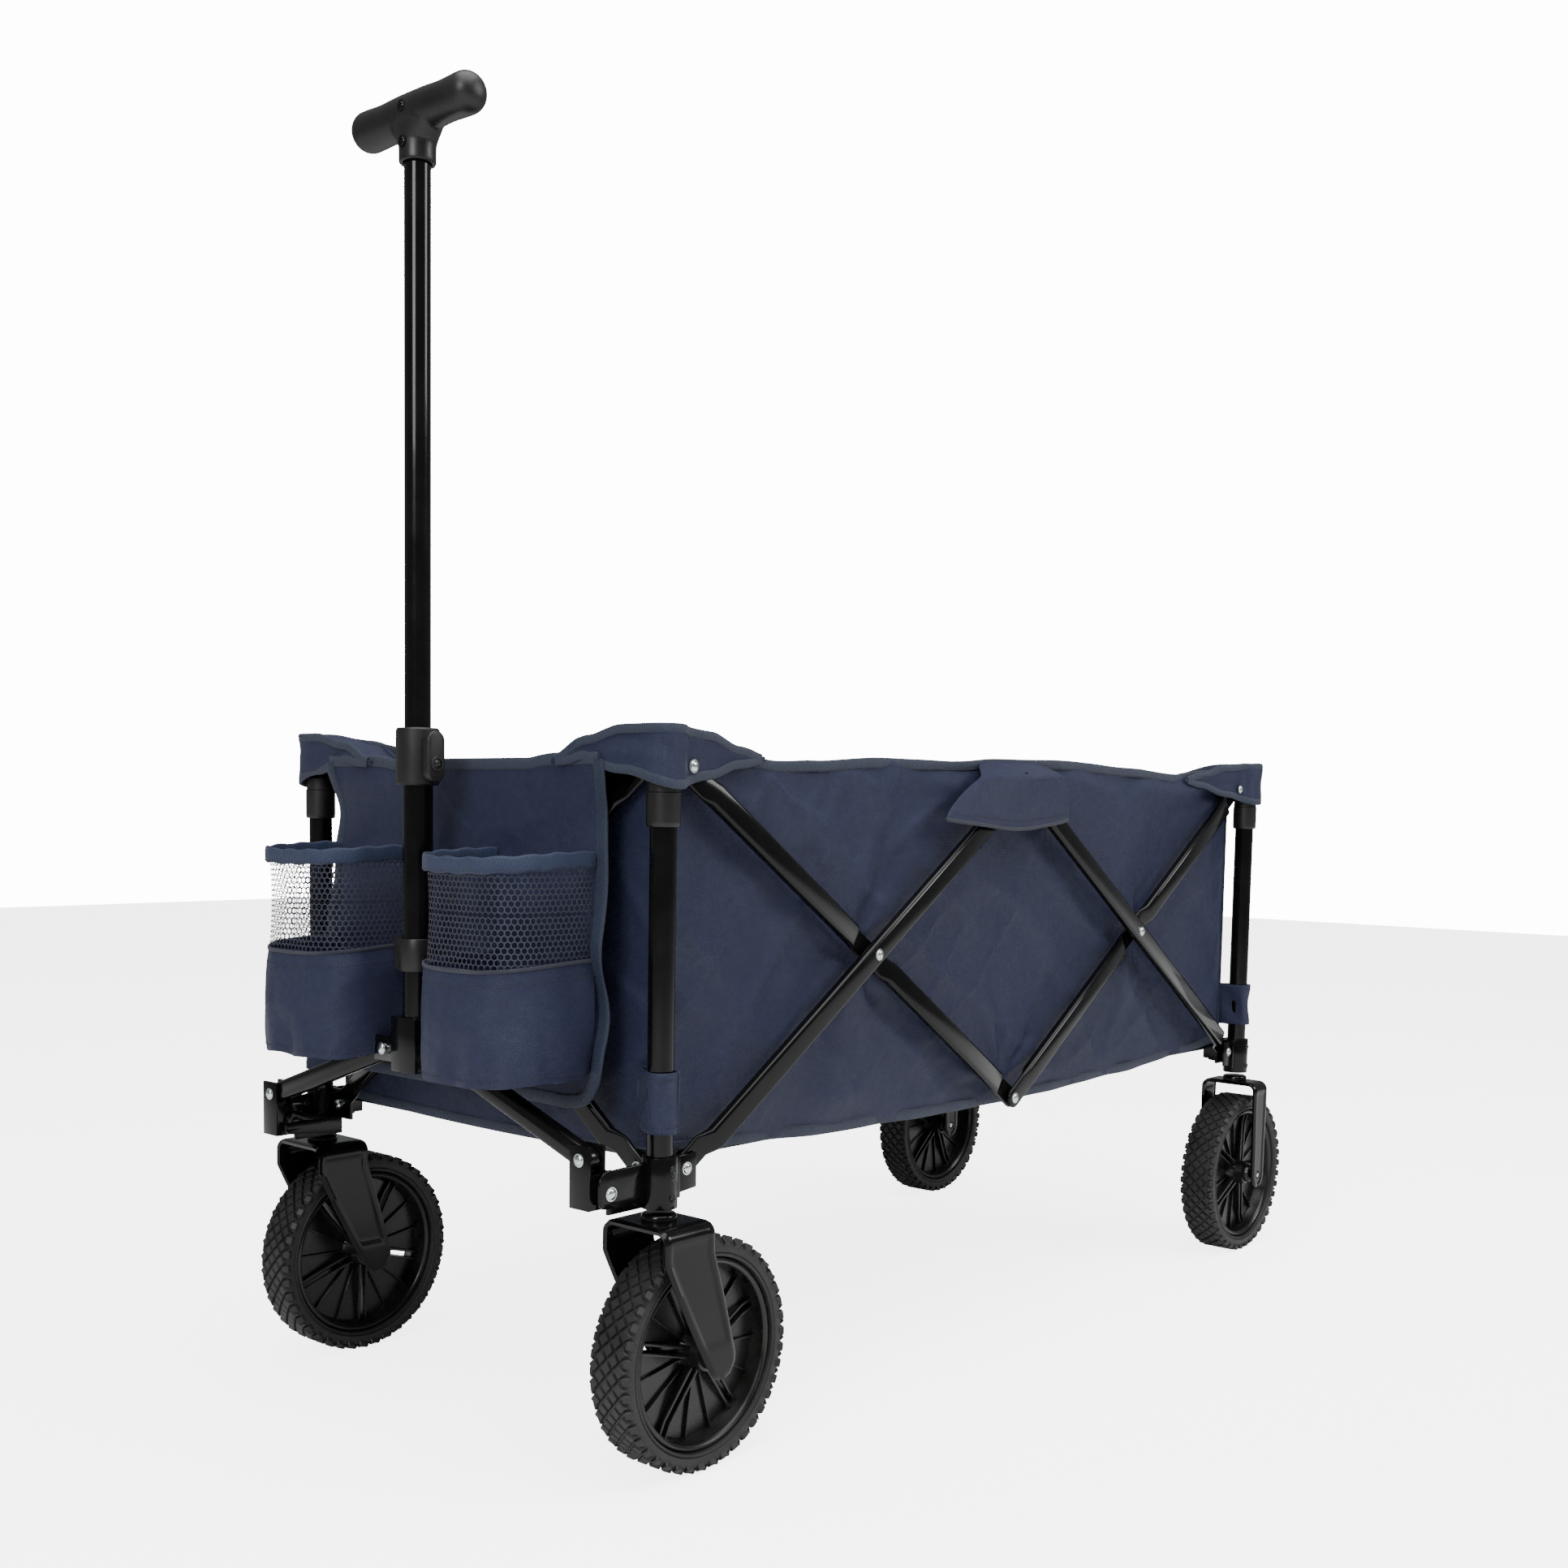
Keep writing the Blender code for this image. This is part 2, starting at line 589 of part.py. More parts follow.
def fork(end, side, name):
    """A wheel fork with its stem and axle bolt."""
    x, y = post_x(end), post_y(side)
    trail = CASTER_TRAIL if end == FRONT else 0
    reach = 0.027 if end == FRONT else 0.017
    outer = ARM_INNER + ARM_THICKNESS
    outline = arm_outline(x, end)
    arms = [
        prism(outline, "Y", y + sign * ARM_INNER, y + sign * outer) for sign in (-1, 1)
    ]
    crown = box((x - reach, y - outer, FORK_TOP_Z - CROWN_THICKNESS), (x + reach, y + outer, FORK_TOP_Z))
    stem = rod(STEM_RADIUS, (x, y, FORK_TOP_Z - 0.004), UP, STEM_TOP_Z - FORK_TOP_Z + 0.004)
    axle = rod(AXLE_RADIUS, (x + trail, y - outer - 0.003, WHEEL_RADIUS), (0, 1, 0), 2 * outer + 0.006)
    part(f"fork_{name}", "frame_paint", (x, y, FORK_TOP_Z), [crown] + arms + [stem, axle])


def wheel(end, side, name):
    """A tyre and its rim: a web with a rib on each side of its radial slots."""
    trail = CASTER_TRAIL if end == FRONT else 0
    hub = Vector((post_x(end) + trail, post_y(side), WHEEL_RADIUS))
    axis = (0, 1, 0)
    seat = WHEEL_RADIUS - TYRE_DEPTH
    shoulder, half = 0.006, TYRE_HALF_WIDTH
    tread = arc((WHEEL_RADIUS - shoulder, half - shoulder), shoulder, 90, 0, 4)
    profile = [(seat, half)] + tread + [(r, -w) for r, w in reversed(tread)] + [(seat, -half)]
    part(f"tyre_{name}", "rubber", hub, [lathe(profile, hub, axis, 36)])

    rim_radius = seat - GAP
    bore, inner = AXLE_RADIUS + RUNNING, rim_radius - RIM_DEPTH
    half = [(bore, HUB_HALF_WIDTH), (HUB_RADIUS, HUB_HALF_WIDTH), (HUB_RADIUS, WEB_THICKNESS / 2)]
    half += [(inner, WEB_THICKNESS / 2), (inner, RIM_HALF_WIDTH), (rim_radius, RIM_HALF_WIDTH)]
    profile = [(r, -w) for r, w in half] + half[::-1]
    turned = lathe(profile, hub, axis, 36)
    slot_low, slot_high = HUB_RADIUS + SLOT_MARGIN, inner - SLOT_MARGIN
    slot_half = SLOT_HALF_WIDTH - SLOT_LEDGE
    rib_low, rib_high = HUB_RADIUS - 0.0035, rim_radius - 0.4 * RIM_DEPTH
    rib_outer = SLOT_HALF_WIDTH + RIB_THICKNESS
    ribs, slots = [], []
    for number in range(SLOTS):
        turn = Matrix.Translation(hub) @ Matrix.Rotation(2 * math.pi * number / SLOTS, 4, "Y")
        slot = box((-slot_half, -WEB_THICKNESS, slot_low), (slot_half, WEB_THICKNESS, slot_high))
        bmesh.ops.transform(slot, matrix=turn, verts=slot.verts)
        slots.append(slot)
        for sign in (-1, 1):
            rib = box(
                (sign * SLOT_HALF_WIDTH, -RIB_HALF_DEPTH, rib_low),
                (sign * rib_outer, RIB_HALF_DEPTH, rib_high),
            )
            bmesh.ops.transform(rib, matrix=turn, verts=rib.verts)
            ribs.append(rib)
    part(f"rim_{name}", "plastic", hub, [turned] + ribs, slots)


def tub():
    """The four walls of the fabric tub and the two halves of its padded mat."""
    outer_x = POST_SPACING_X / 2 - POST_RADIUS - WALL_CLEARANCE
    outer_y = POST_SPACING_Y / 2 - POST_RADIUS - WALL_CLEARANCE
    inner_x, inner_y = outer_x - WALL_THICKNESS, outer_y - WALL_THICKNESS
    for side, name in ((RIGHT, "right"), (LEFT, "left")):
        shape = box(
            (CENTRE_X - outer_x, side * inner_y, HEM_Z), (CENTRE_X + outer_x, side * outer_y, RIM_Z)
        )
        part(f"tub_wall_{name}", "fabric", (post_x(FRONT), post_y(side), RIM_Z), [shape])
        mat = box(
            (CENTRE_X - inner_x + 0.002, side * 0.001, MAT_Z),
            (CENTRE_X + inner_x - 0.002, side * (inner_y - 0.001), MAT_Z + MAT_THICKNESS),
        )
        part(f"mat_half_{name}", "mat_fabric", (CENTRE_X, side * inner_y, MAT_Z), [mat])
    for end, name in ((FRONT, "front"), (REAR, "rear")):
        shape = box(
            (CENTRE_X + end * inner_x, -inner_y + GAP, HEM_Z),
            (CENTRE_X + end * outer_x, inner_y - GAP, RIM_Z),
        )
        part(f"tub_wall_{name}", "fabric", (post_x(end), post_y(RIGHT), RIM_Z), [shape])


def apron():
    """The panel that hangs outside the front bars and carries the pockets."""
    back, front = post_x(FRONT) - APRON_BACK, post_x(FRONT) - APRON_FRONT
    corner = 0.03
    outline = [(-APRON_HALF_WIDTH, RIM_Z)]
    outline += arc((-APRON_HALF_WIDTH + corner, APRON_HEM_Z + corner), corner, 180, 270, 6)
    outline += arc((APRON_HALF_WIDTH - corner, APRON_HEM_Z + corner), corner, 270, 360, 6)
    outline += [(APRON_HALF_WIDTH, RIM_Z)]
    part("front_apron", "fabric", (back, post_y(RIGHT), RIM_Z), [prism(outline, "X", front, back)])


def pocket_outline(side, inset):
    """The rounded plan of a pocket, drawn in by the inset."""
    back = post_x(FRONT) - APRON_FRONT - GAP - inset
    front = post_x(FRONT) - POCKET_REACH + inset
    near, far = POCKET_INNER_Y + inset, POCKET_INNER_Y + POCKET_WIDTH - inset
    corner = POCKET_CORNER - inset
    points = [(back, near)]
    points += [(x, y) for x, y in arc((front + corner, near + corner), corner, 270, 180, 6)]
    points += [(x, y) for x, y in arc((front + corner, far - corner), corner, 180, 90, 6)]
    points += [(back, far)]
    return [(x, side * y) for x, y in points]


def pocket(side, name):
    """A bottle pocket, open at the top, standing out from the apron."""

    def cup(inset, low, high):
        plan = pocket_outline(side, inset)
        return loft([[Vector((x, y, z)) for x, y in plan] for z in (low, high)])

    outside = cup(0, POCKET_FLOOR_Z, POCKET_TOP_Z)
    inside = cup(POCKET_WALL, POCKET_FLOOR_Z + POCKET_WALL, POCKET_TOP_Z + 0.01)
    pivot = (post_x(FRONT) - APRON_FRONT, post_y(RIGHT), POCKET_TOP_Z)
    part(f"pocket_{name}", "fabric", pivot, [outside], [inside])


def corner_groups():
    """Everything that repeats at the four corners."""
    for end, end_name in ((FRONT, "front"), (REAR, "rear")):
        for side, side_name in ((RIGHT, "right"), (LEFT, "left")):
            name = f"{end_name}_{side_name}"
            for make in (lower_post, post_sleeve, upper_post, corner_bracket, fork, wheel):
                make(end, side, name)


def main():
    for old in list(bpy.data.objects):
        bpy.data.objects.remove(old, do_unlink=True)
    corner_groups()
    for side, name in ((RIGHT, "right"), (LEFT, "left")):
        side_bars(side, name)
        yoke_clevis(side, name)
        yoke_bar(side, name)
        pocket(side, name)
    for end, name in ((FRONT, "front"), (REAR, "rear")):
        end_bars(end, name)
    yoke_bracket()
    handle()
    tub()
    apron()


main()
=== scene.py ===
# %% [markdown]
# # A folding utility wagon
# The wagon's working model is already packed: every tube, bracket and wheel has its place and its joint there. This
# script dresses it. Most working nodes are replaced by a finer piece of the same size, and the soft goods are sewn from
# curved sheets. Each cell makes one kind of piece.

# %% Load the working model
import json
import math

import bmesh
import bpy
from mathutils import Matrix, Vector, noise


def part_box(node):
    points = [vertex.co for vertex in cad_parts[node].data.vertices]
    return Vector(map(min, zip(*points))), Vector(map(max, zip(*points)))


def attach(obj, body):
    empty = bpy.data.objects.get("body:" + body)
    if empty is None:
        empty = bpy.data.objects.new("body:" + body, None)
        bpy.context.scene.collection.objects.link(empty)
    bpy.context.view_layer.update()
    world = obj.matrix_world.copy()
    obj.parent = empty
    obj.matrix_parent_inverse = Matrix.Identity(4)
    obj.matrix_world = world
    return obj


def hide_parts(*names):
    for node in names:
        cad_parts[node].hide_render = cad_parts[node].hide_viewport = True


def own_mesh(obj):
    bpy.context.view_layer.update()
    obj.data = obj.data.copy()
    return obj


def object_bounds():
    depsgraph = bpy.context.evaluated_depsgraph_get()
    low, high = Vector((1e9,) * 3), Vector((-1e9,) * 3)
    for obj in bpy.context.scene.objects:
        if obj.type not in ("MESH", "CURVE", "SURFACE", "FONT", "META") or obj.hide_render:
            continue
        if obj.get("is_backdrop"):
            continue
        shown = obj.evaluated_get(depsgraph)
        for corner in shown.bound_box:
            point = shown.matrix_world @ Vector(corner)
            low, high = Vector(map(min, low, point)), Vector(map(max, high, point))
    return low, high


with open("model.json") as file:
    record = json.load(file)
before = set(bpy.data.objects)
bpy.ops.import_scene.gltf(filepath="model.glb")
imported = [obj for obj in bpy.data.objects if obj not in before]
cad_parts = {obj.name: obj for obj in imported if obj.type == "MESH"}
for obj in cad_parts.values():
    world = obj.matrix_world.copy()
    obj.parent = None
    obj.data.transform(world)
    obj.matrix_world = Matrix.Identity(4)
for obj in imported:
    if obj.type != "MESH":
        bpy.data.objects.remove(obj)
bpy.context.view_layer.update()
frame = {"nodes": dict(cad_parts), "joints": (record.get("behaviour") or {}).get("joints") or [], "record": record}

# %% [markdown]
# ## Where things are
# Every position comes from the working model: a node's box, or the point that a joint turns about. A few short lookups
# keep the later cells readable.

# %% Lookups
JOINTS = {joint["name"]: Vector(joint["pos_m"]) for joint in frame["joints"] if "pos_m" in joint}
BODY_OF = {node: body for body, nodes in frame["record"]["behaviour"]["bodies"].items() for node in nodes}
SIDES = {"right": -1, "left": 1}
ENDS = {"front": -1, "rear": 1}
CORNERS = [(end, side) for end in ENDS for side in SIDES]
UP = Vector((0, 0, 1))


def middle(node):
    low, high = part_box(node)
    return (low + high) / 2


def extent(node):
    low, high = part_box(node)
    return high - low


CENTRE_X = middle("tub_wall_right").x
POST_X = {end: middle(f"lower_post_{end}_right").x for end in ENDS}
POST_Y = abs(middle("lower_post_front_right").y)
POST_RADIUS = extent("lower_post_front_right").x / 2
LOWER_Z = JOINTS["fold"].z
UPPER_Z = JOINTS["fold_middle_right"].z
WALL_Y = abs(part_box("tub_wall_right")[0].y)
WALL_X = {"front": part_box("tub_wall_front")[0].x, "rear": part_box("tub_wall_rear")[1].x}
print("posts at", POST_X, POST_Y, "pivots at", LOWER_Z, UPPER_Z)

# %% [markdown]
# ## The camera
# The wagon is seen from its front right corner, a little below the rim of its tub. The lens is shifted more than it is
# tilted, which keeps the corner posts upright.

# %% Camera
SENSOR = 36
lens = bpy.data.cameras.new("camera")
lens.sensor_width, lens.lens = SENSOR, 38.97
lens.shift_x, lens.shift_y = 0.0225, 0.1034
camera = bpy.data.objects.new("camera", lens)
bpy.context.scene.collection.objects.link(camera)
heading, down, roll = math.radians(48.65), math.radians(4.6), math.radians(0.87)
turn = Matrix.Rotation(-heading, 4, "Z") @ Matrix.Rotation(math.pi / 2 - down, 4, "X") @ Matrix.Rotation(roll, 4, "Z")
camera.matrix_world = Matrix.Translation((-1.4296, -1.137, 0.5282)) @ turn
bpy.context.scene.camera = camera
print("camera at", camera.matrix_world.translation)

# %% [markdown]
# ## Nodes without clicking
# A material is a small graph. This helper adds a node, sets its plain inputs and links the others, so that a material
# reads from top to bottom.


# %% Node helper
def node(tree, kind, settings=(), **inputs):
    """Adds a node. An input is given by its name: a socket is linked, and anything else is set."""
    made = tree.nodes.new(kind)
    for name, value in dict(settings).items():
        setattr(made, name, value)
    for name, value in inputs.items():
        socket = made.inputs[int(name[1:])] if name[0] == "_" else made.inputs[name.replace("_", " ")]
        if isinstance(value, bpy.types.NodeSocket):
            tree.links.new(value, socket)
        else:
            socket.default_value = value
    return made


def math_node(tree, operation, *values):
    """One Math node, and its result."""
    inputs = {f"_{number}": value for number, value in enumerate(values)}
    return node(tree, "ShaderNodeMath", {"operation": operation}, **inputs).outputs[0]


def new_group(name, inputs, outputs):
    """A shader node group with named sockets. Gives the group, its input node's outputs, and its output node."""
    group = bpy.data.node_groups.new(name, "ShaderNodeTree")
    for direction, sockets in (("INPUT", inputs), ("OUTPUT", outputs)):
        for label, kind in sockets.items():
            group.interface.new_socket(label, in_out=direction, socket_type=f"NodeSocket{kind}")
    return group, group.nodes.new("NodeGroupInput").outputs, group.nodes.new("NodeGroupOutput")


def place_group(tree, group, **inputs):
    """The group as a node of a material."""
    made = node(tree, "ShaderNodeGroup", {"node_tree": group})
    for name, value in inputs.items():
        if isinstance(value, bpy.types.NodeSocket):
            tree.links.new(value, made.inputs[name])
        else:
            made.inputs[name].default_value = value
    return made


print("node helpers ready")

# %% [markdown]
# ## Weave
# Tub cloth is a plain weave of thick polyester yarn. Two rows of humps, one along each way of the cloth, take turns on
# top. The pattern runs on the cloth's own coordinates, which are in metres, so a yarn has its real width everywhere.

# %% Weave group
weave, given, result = new_group("weave", {"Cloth": "Vector", "Yarn": "Float"}, {"Height": "Float", "SlubAndYarnHighlight": "Float"})
tree = weave
scaled = node(tree, "ShaderNodeVectorMath", {"operation": "DIVIDE"}, _0=given["Cloth"])
tree.links.new(node(tree, "ShaderNodeCombineXYZ", X=given["Yarn"], Y=given["Yarn"], Z=given["Yarn"]).outputs[0],
               scaled.inputs[1])
split = node(tree, "ShaderNodeSeparateXYZ", Vector=scaled.outputs[0])
humps = []
for way in ("X", "Y"):
    hump = math_node(tree, "SINE", math_node(tree, "MULTIPLY", split.outputs[way], math.pi))
    humps.append(math_node(tree, "ABSOLUTE", hump))
over = node(tree, "ShaderNodeTexChecker", Vector=scaled.outputs[0], Scale=1.0).outputs["Fac"]
top = math_node(tree, "ADD", math_node(tree, "MULTIPLY", humps[0], over),
                math_node(tree, "MULTIPLY", humps[1], math_node(tree, "SUBTRACT", 1.0, over)))
slub = node(tree, "ShaderNodeTexNoise", Vector=scaled.outputs[0], Scale=0.13, Detail=3.0).outputs["Fac"]
tree.links.new(top, result.inputs["Height"])
# The colour share mixes a random slub tone with a painted highlight: a yarn is painted lighter where it lies on top.
tree.links.new(math_node(tree, "ADD", math_node(tree, "MULTIPLY", top, 0.35), math_node(tree, "MULTIPLY", slub, 0.65)),
               result.inputs["SlubAndYarnHighlight"])
print("weave group has", len(weave.nodes), "nodes")

# %% [markdown]
# ## Ribs, grain and handling marks
# Binding tape has diagonal ribs. Moulded plastic, rubber and powder paint have a fine grain. Everything that is handled
# has soft blotches where it is a little less shiny. Each effect is a group that several materials share.

# %% Ribs, grain and marks
ribs, given, result = new_group("tape_ribs", {"Cloth": "Vector", "Spacing": "Float"}, {"Height": "Float"})
split = node(ribs, "ShaderNodeSeparateXYZ", Vector=given["Cloth"])
slant = math_node(ribs, "ADD", split.outputs["X"], math_node(ribs, "MULTIPLY", split.outputs["Y"], 0.7))
ribs.links.new(math_node(ribs, "ABSOLUTE", math_node(ribs, "SINE", math_node(
    ribs, "MULTIPLY", math_node(ribs, "DIVIDE", slant, given["Spacing"]), math.pi))), result.inputs["Height"])

grain, given, result = new_group("grain", {"Place": "Vector", "Size": "Float"}, {"Height": "Float", "Blotch": "Float"})
fine = node(grain, "ShaderNodeTexNoise", Vector=given["Place"], Detail=2.0)
grain.links.new(math_node(grain, "DIVIDE", 1.0, given["Size"]), fine.inputs["Scale"])
grain.links.new(fine.outputs["Fac"], result.inputs["Height"])
broad = node(grain, "ShaderNodeTexNoise", Vector=given["Place"], Scale=23.0, Detail=4.0, Roughness=0.6)
soft = node(grain, "ShaderNodeMapRange", Value=broad.outputs["Fac"], From_Min=0.42, From_Max=0.68)
grain.links.new(soft.outputs["Result"], result.inputs["Blotch"])
print("groups:", [group.name for group in bpy.data.node_groups])

# %% [markdown]
# ## Materials
# Each finish is a Principled surface of its own. The groups above only vary its colour, its roughness and its bump:
# slubs in the cloth, handling marks on the paint, mould grain on the plastic. The raised yarns of the cloth and the rib
# crests of the tapes are also painted lighter, a painted highlight.


# %% Cloth materials
def new_material(name, roughness, **plain):
    """A material, its tree and its Principled shader with the plain inputs set."""
    made = bpy.data.materials.new(name)
    made.use_nodes = True
    shader = made.node_tree.nodes["Principled BSDF"]
    shader.inputs["Roughness"].default_value = roughness
    for label, value in plain.items():
        shader.inputs[label.replace("_", " ")].default_value = value
    return made, made.node_tree, shader


def two_tone(tree, shader, share, first, second):
    """Mixes two colours over the surface, by a share of the second one."""
    mix = node(tree, "ShaderNodeMix", {"data_type": "RGBA"})
    tree.links.new(share, mix.inputs["Factor"])
    mix.inputs["A"].default_value, mix.inputs["B"].default_value = (*first, 1), (*second, 1)
    tree.links.new(mix.outputs["Result"], shader.inputs["Base Color"])


def bumped(tree, shader, height, depth, strength):
    """Raises the surface by a height. Gives the Bump node."""
    bump = node(tree, "ShaderNodeBump", Height=height, Distance=depth, Strength=strength)
    tree.links.new(bump.outputs[0], shader.inputs["Normal"])
    return bump


def cloth_material(name, dark, light, yarn, depth, crease=0.0):
    """Woven cloth between two colours, mixed by slubs and by a painted highlight on the raised yarns. It has a soft
    sheen and, on big panels, small creases.
    """
    made, tree, shader = new_material(name, 0.46, Sheen_Weight=0.03, Sheen_Roughness=0.4,
                                      Sheen_Tint=(0.55, 0.6, 0.8, 1), Specular_IOR_Level=0.20)
    cloth = node(tree, "ShaderNodeUVMap", {"uv_map": "cloth"}).outputs["UV"]
    woven = place_group(tree, weave, Cloth=cloth, Yarn=yarn)
    two_tone(tree, shader, woven.outputs["SlubAndYarnHighlight"], dark, light)
    bump = bumped(tree, shader, woven.outputs["Height"], depth, 0.6)
    if crease:
        broad = node(tree, "ShaderNodeTexNoise", Vector=cloth, Scale=8.0, Detail=3.5, Roughness=0.45, Distortion=0.5)
        crumple = node(tree, "ShaderNodeBump", Height=broad.outputs["Fac"], Distance=crease, Strength=1.0)
        tree.links.new(crumple.outputs[0], bump.inputs["Normal"])
    return made


RIB_RISE = 0.0004


def tape_material(name, dark, light, spacing):
    """Ribbed binding tape or elastic, with each rib's crest painted lighter: a painted highlight."""
    made, tree, shader = new_material(name, 0.65, Sheen_Weight=0.05)
    cloth = node(tree, "ShaderNodeUVMap", {"uv_map": "cloth"}).outputs["UV"]
    ribbed = place_group(tree, ribs, Cloth=cloth, Spacing=spacing)
    # The rib height also sets the colour, so a rib's crest is painted lighter and its groove darker: a painted
    # highlight and shade.
    two_tone(tree, shader, ribbed.outputs["Height"], dark, light)
    bumped(tree, shader, ribbed.outputs["Height"], RIB_RISE, 0.8)
    return made


NAVY = cloth_material("navy_cloth", (0.0075, 0.0098, 0.0260), (0.0175, 0.0215, 0.0500), 0.0011, 0.0004, 0.016)
MAT_NAVY = cloth_material("mat_cloth", (0.0060, 0.0080, 0.0210), (0.0140, 0.0170, 0.0400), 0.0013, 0.0005)
BINDING = tape_material("binding_tape", (0.0012, 0.0044, 0.0150), (0.0030, 0.0110, 0.0330), 0.0016)
ELASTIC = tape_material("pocket_elastic", (0.0012, 0.0054, 0.0230), (0.0030, 0.0125, 0.0480), 0.0022)
STITCH = tape_material("stitching", (0.0022, 0.0034, 0.0110), (0.0050, 0.0075, 0.0230), 0.0010)
NET = tape_material("net_cord", (0.0050, 0.0065, 0.0160), (0.0140, 0.0170, 0.0380), 0.0008)
print("cloth materials ready")


# %% Hard materials
def hard_material(name, colour, worn, roughness, rub, size, depth, **plain):
    """Paint, plastic or rubber: handled blotches are lighter and rougher, and the grain is a bump."""
    made, tree, shader = new_material(name, roughness, **plain)
    place = node(tree, "ShaderNodeTexCoord").outputs["Object"]
    marks = place_group(tree, grain, Place=place, Size=size)
    two_tone(tree, shader, marks.outputs["Blotch"], colour, worn)
    rough = node(tree, "ShaderNodeMapRange", Value=marks.outputs["Blotch"], To_Min=roughness, To_Max=rub)
    tree.links.new(rough.outputs["Result"], shader.inputs["Roughness"])
    bumped(tree, shader, marks.outputs["Height"], depth, 0.5)
    return made


PAINT = hard_material("gloss_paint", (0.0016, 0.0016, 0.0018), (0.0030, 0.0030, 0.0032), 0.13, 0.20, 0.0016, 0.00002,
                      Coat_Weight=0.12, Coat_Roughness=0.04, Specular_IOR_Level=0.14)
PLASTIC = hard_material("moulded_plastic", (0.0055, 0.0052, 0.0052), (0.0085, 0.0082, 0.0082), 0.36, 0.48, 0.0007,
                        0.00008, Specular_IOR_Level=0.32)
WHEEL_PLASTIC = hard_material("wheel_plastic", (0.0045, 0.0041, 0.0038), (0.0075, 0.0068, 0.0064), 0.26, 0.38, 0.0009,
                              0.00005, Specular_IOR_Level=0.35)
RUBBER = hard_material("tyre_rubber", (0.0068, 0.0063, 0.0060), (0.0120, 0.0112, 0.0108), 0.50, 0.66, 0.0010, 0.00014,
                       Specular_IOR_Level=0.38)
ZINC = hard_material("zinc_plate", (0.62, 0.66, 0.66), (0.50, 0.54, 0.52), 0.20, 0.34, 0.0011, 0.00005, Metallic=1.0)
BLACK_STEEL = hard_material("black_steel", (0.03, 0.03, 0.032), (0.05, 0.05, 0.052), 0.30, 0.42, 0.0010, 0.00005,
                            Metallic=0.8)
print("hard materials ready")

# %% [markdown]
# ## Floor and light
# A plain pale floor under broad soft lamps shows a dark, glossy frame well: the lamps draw long highlights down the
# tubes, and the pale surroundings fill in the shadows.

# %% Floor and light
FLOOR_SIZE = 14
SEEN_FLOOR = 4.2  # the floor's own glow, for the camera only
SEEN_WALL = 14.0  # the pale wall's, likewise
ROOM_FILL = 0.30
floor_mesh = bmesh.new()
bmesh.ops.create_grid(floor_mesh, x_segments=2, y_segments=2, size=FLOOR_SIZE / 2)
floor_data = bpy.data.meshes.new("floor")
floor_mesh.to_mesh(floor_data)
floor_mesh.free()
floor = bpy.data.objects.new("floor", floor_data)
bpy.context.scene.collection.objects.link(floor)
floor_finish, tree, shader = new_material("pale_floor", 0.8, Base_Color=(0.90, 0.90, 0.90, 1))
shader.inputs["Emission Color"].default_value = (1, 1, 1, 1)
lit = math_node(tree, "MULTIPLY", node(tree, "ShaderNodeLightPath").outputs["Is Camera Ray"], SEEN_FLOOR)
tree.links.new(lit, shader.inputs["Emission Strength"])
floor_data.materials.append(floor_finish)
floor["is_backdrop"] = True

sky = bpy.data.worlds.new("pale_room")
sky.use_nodes = True
tree = sky.node_tree
fill = tree.nodes["Background"]
fill.inputs["Color"].default_value, fill.inputs["Strength"].default_value = (0.95, 0.97, 1.0, 1), ROOM_FILL
wall = node(tree, "ShaderNodeBackground", Color=(1, 1, 1, 1), Strength=SEEN_WALL)
seen = node(tree, "ShaderNodeMixShader")
tree.links.new(node(tree, "ShaderNodeLightPath").outputs["Is Camera Ray"], seen.inputs["Fac"])
tree.links.new(fill.outputs[0], seen.inputs[1])
tree.links.new(wall.outputs[0], seen.inputs[2])
tree.links.new(seen.outputs[0], tree.nodes["World Output"].inputs["Surface"])
bpy.context.scene.world = sky


def lamp(name, place, target, size, power):
    """A square soft lamp that points at a target."""
    data = bpy.data.lights.new(name, "AREA")
    data.size, data.energy = size, power
    made = bpy.data.objects.new(name, data)
    bpy.context.scene.collection.objects.link(made)
    made.location = place
    made.rotation_euler = (Vector(target) - Vector(place)).to_track_quat("-Z", "Y").to_euler()


lamp("top_lamp", (-0.6, -0.8, 3.4), (0, 0, 0.3), 3.2, 190)
lamp("left_lamp", (-3.3, -1.1, 2.0), (-0.2, -0.1, 0.4), 1.2, 80)
lamp("right_lamp", (1.6, -2.6, 2.2), (0, 0, 0.4), 1.2, 60)
print("floor and", len(bpy.data.lights), "lamps ready")

# %% [markdown]
# ## Shapes
# Hard pieces start from three kinds of shape. A turned shape is an outline spun round an axis, as on a lathe. A slab is
# a flat outline pulled up and rounded off, as a pressed plate is. A block is a cube with its edges rounded. A finished
# shape is moved into place, and a piece gathers its shapes in one object.


# %% Shape helpers
def stand(origin, axis=UP):
    """The matrix that puts a shape's own Z along an axis, from an origin."""
    return Matrix.Translation(Vector(origin)) @ Vector(axis).to_track_quat("Z", "Y").to_matrix().to_4x4()


def arc(centre, radius, start, end, steps=6):
    """Points on a circle from one angle to another, in degrees."""
    angles = [math.radians(start + (end - start) * k / steps) for k in range(steps + 1)]
    return [(centre[0] + radius * math.cos(a), centre[1] + radius * math.sin(a)) for a in angles]


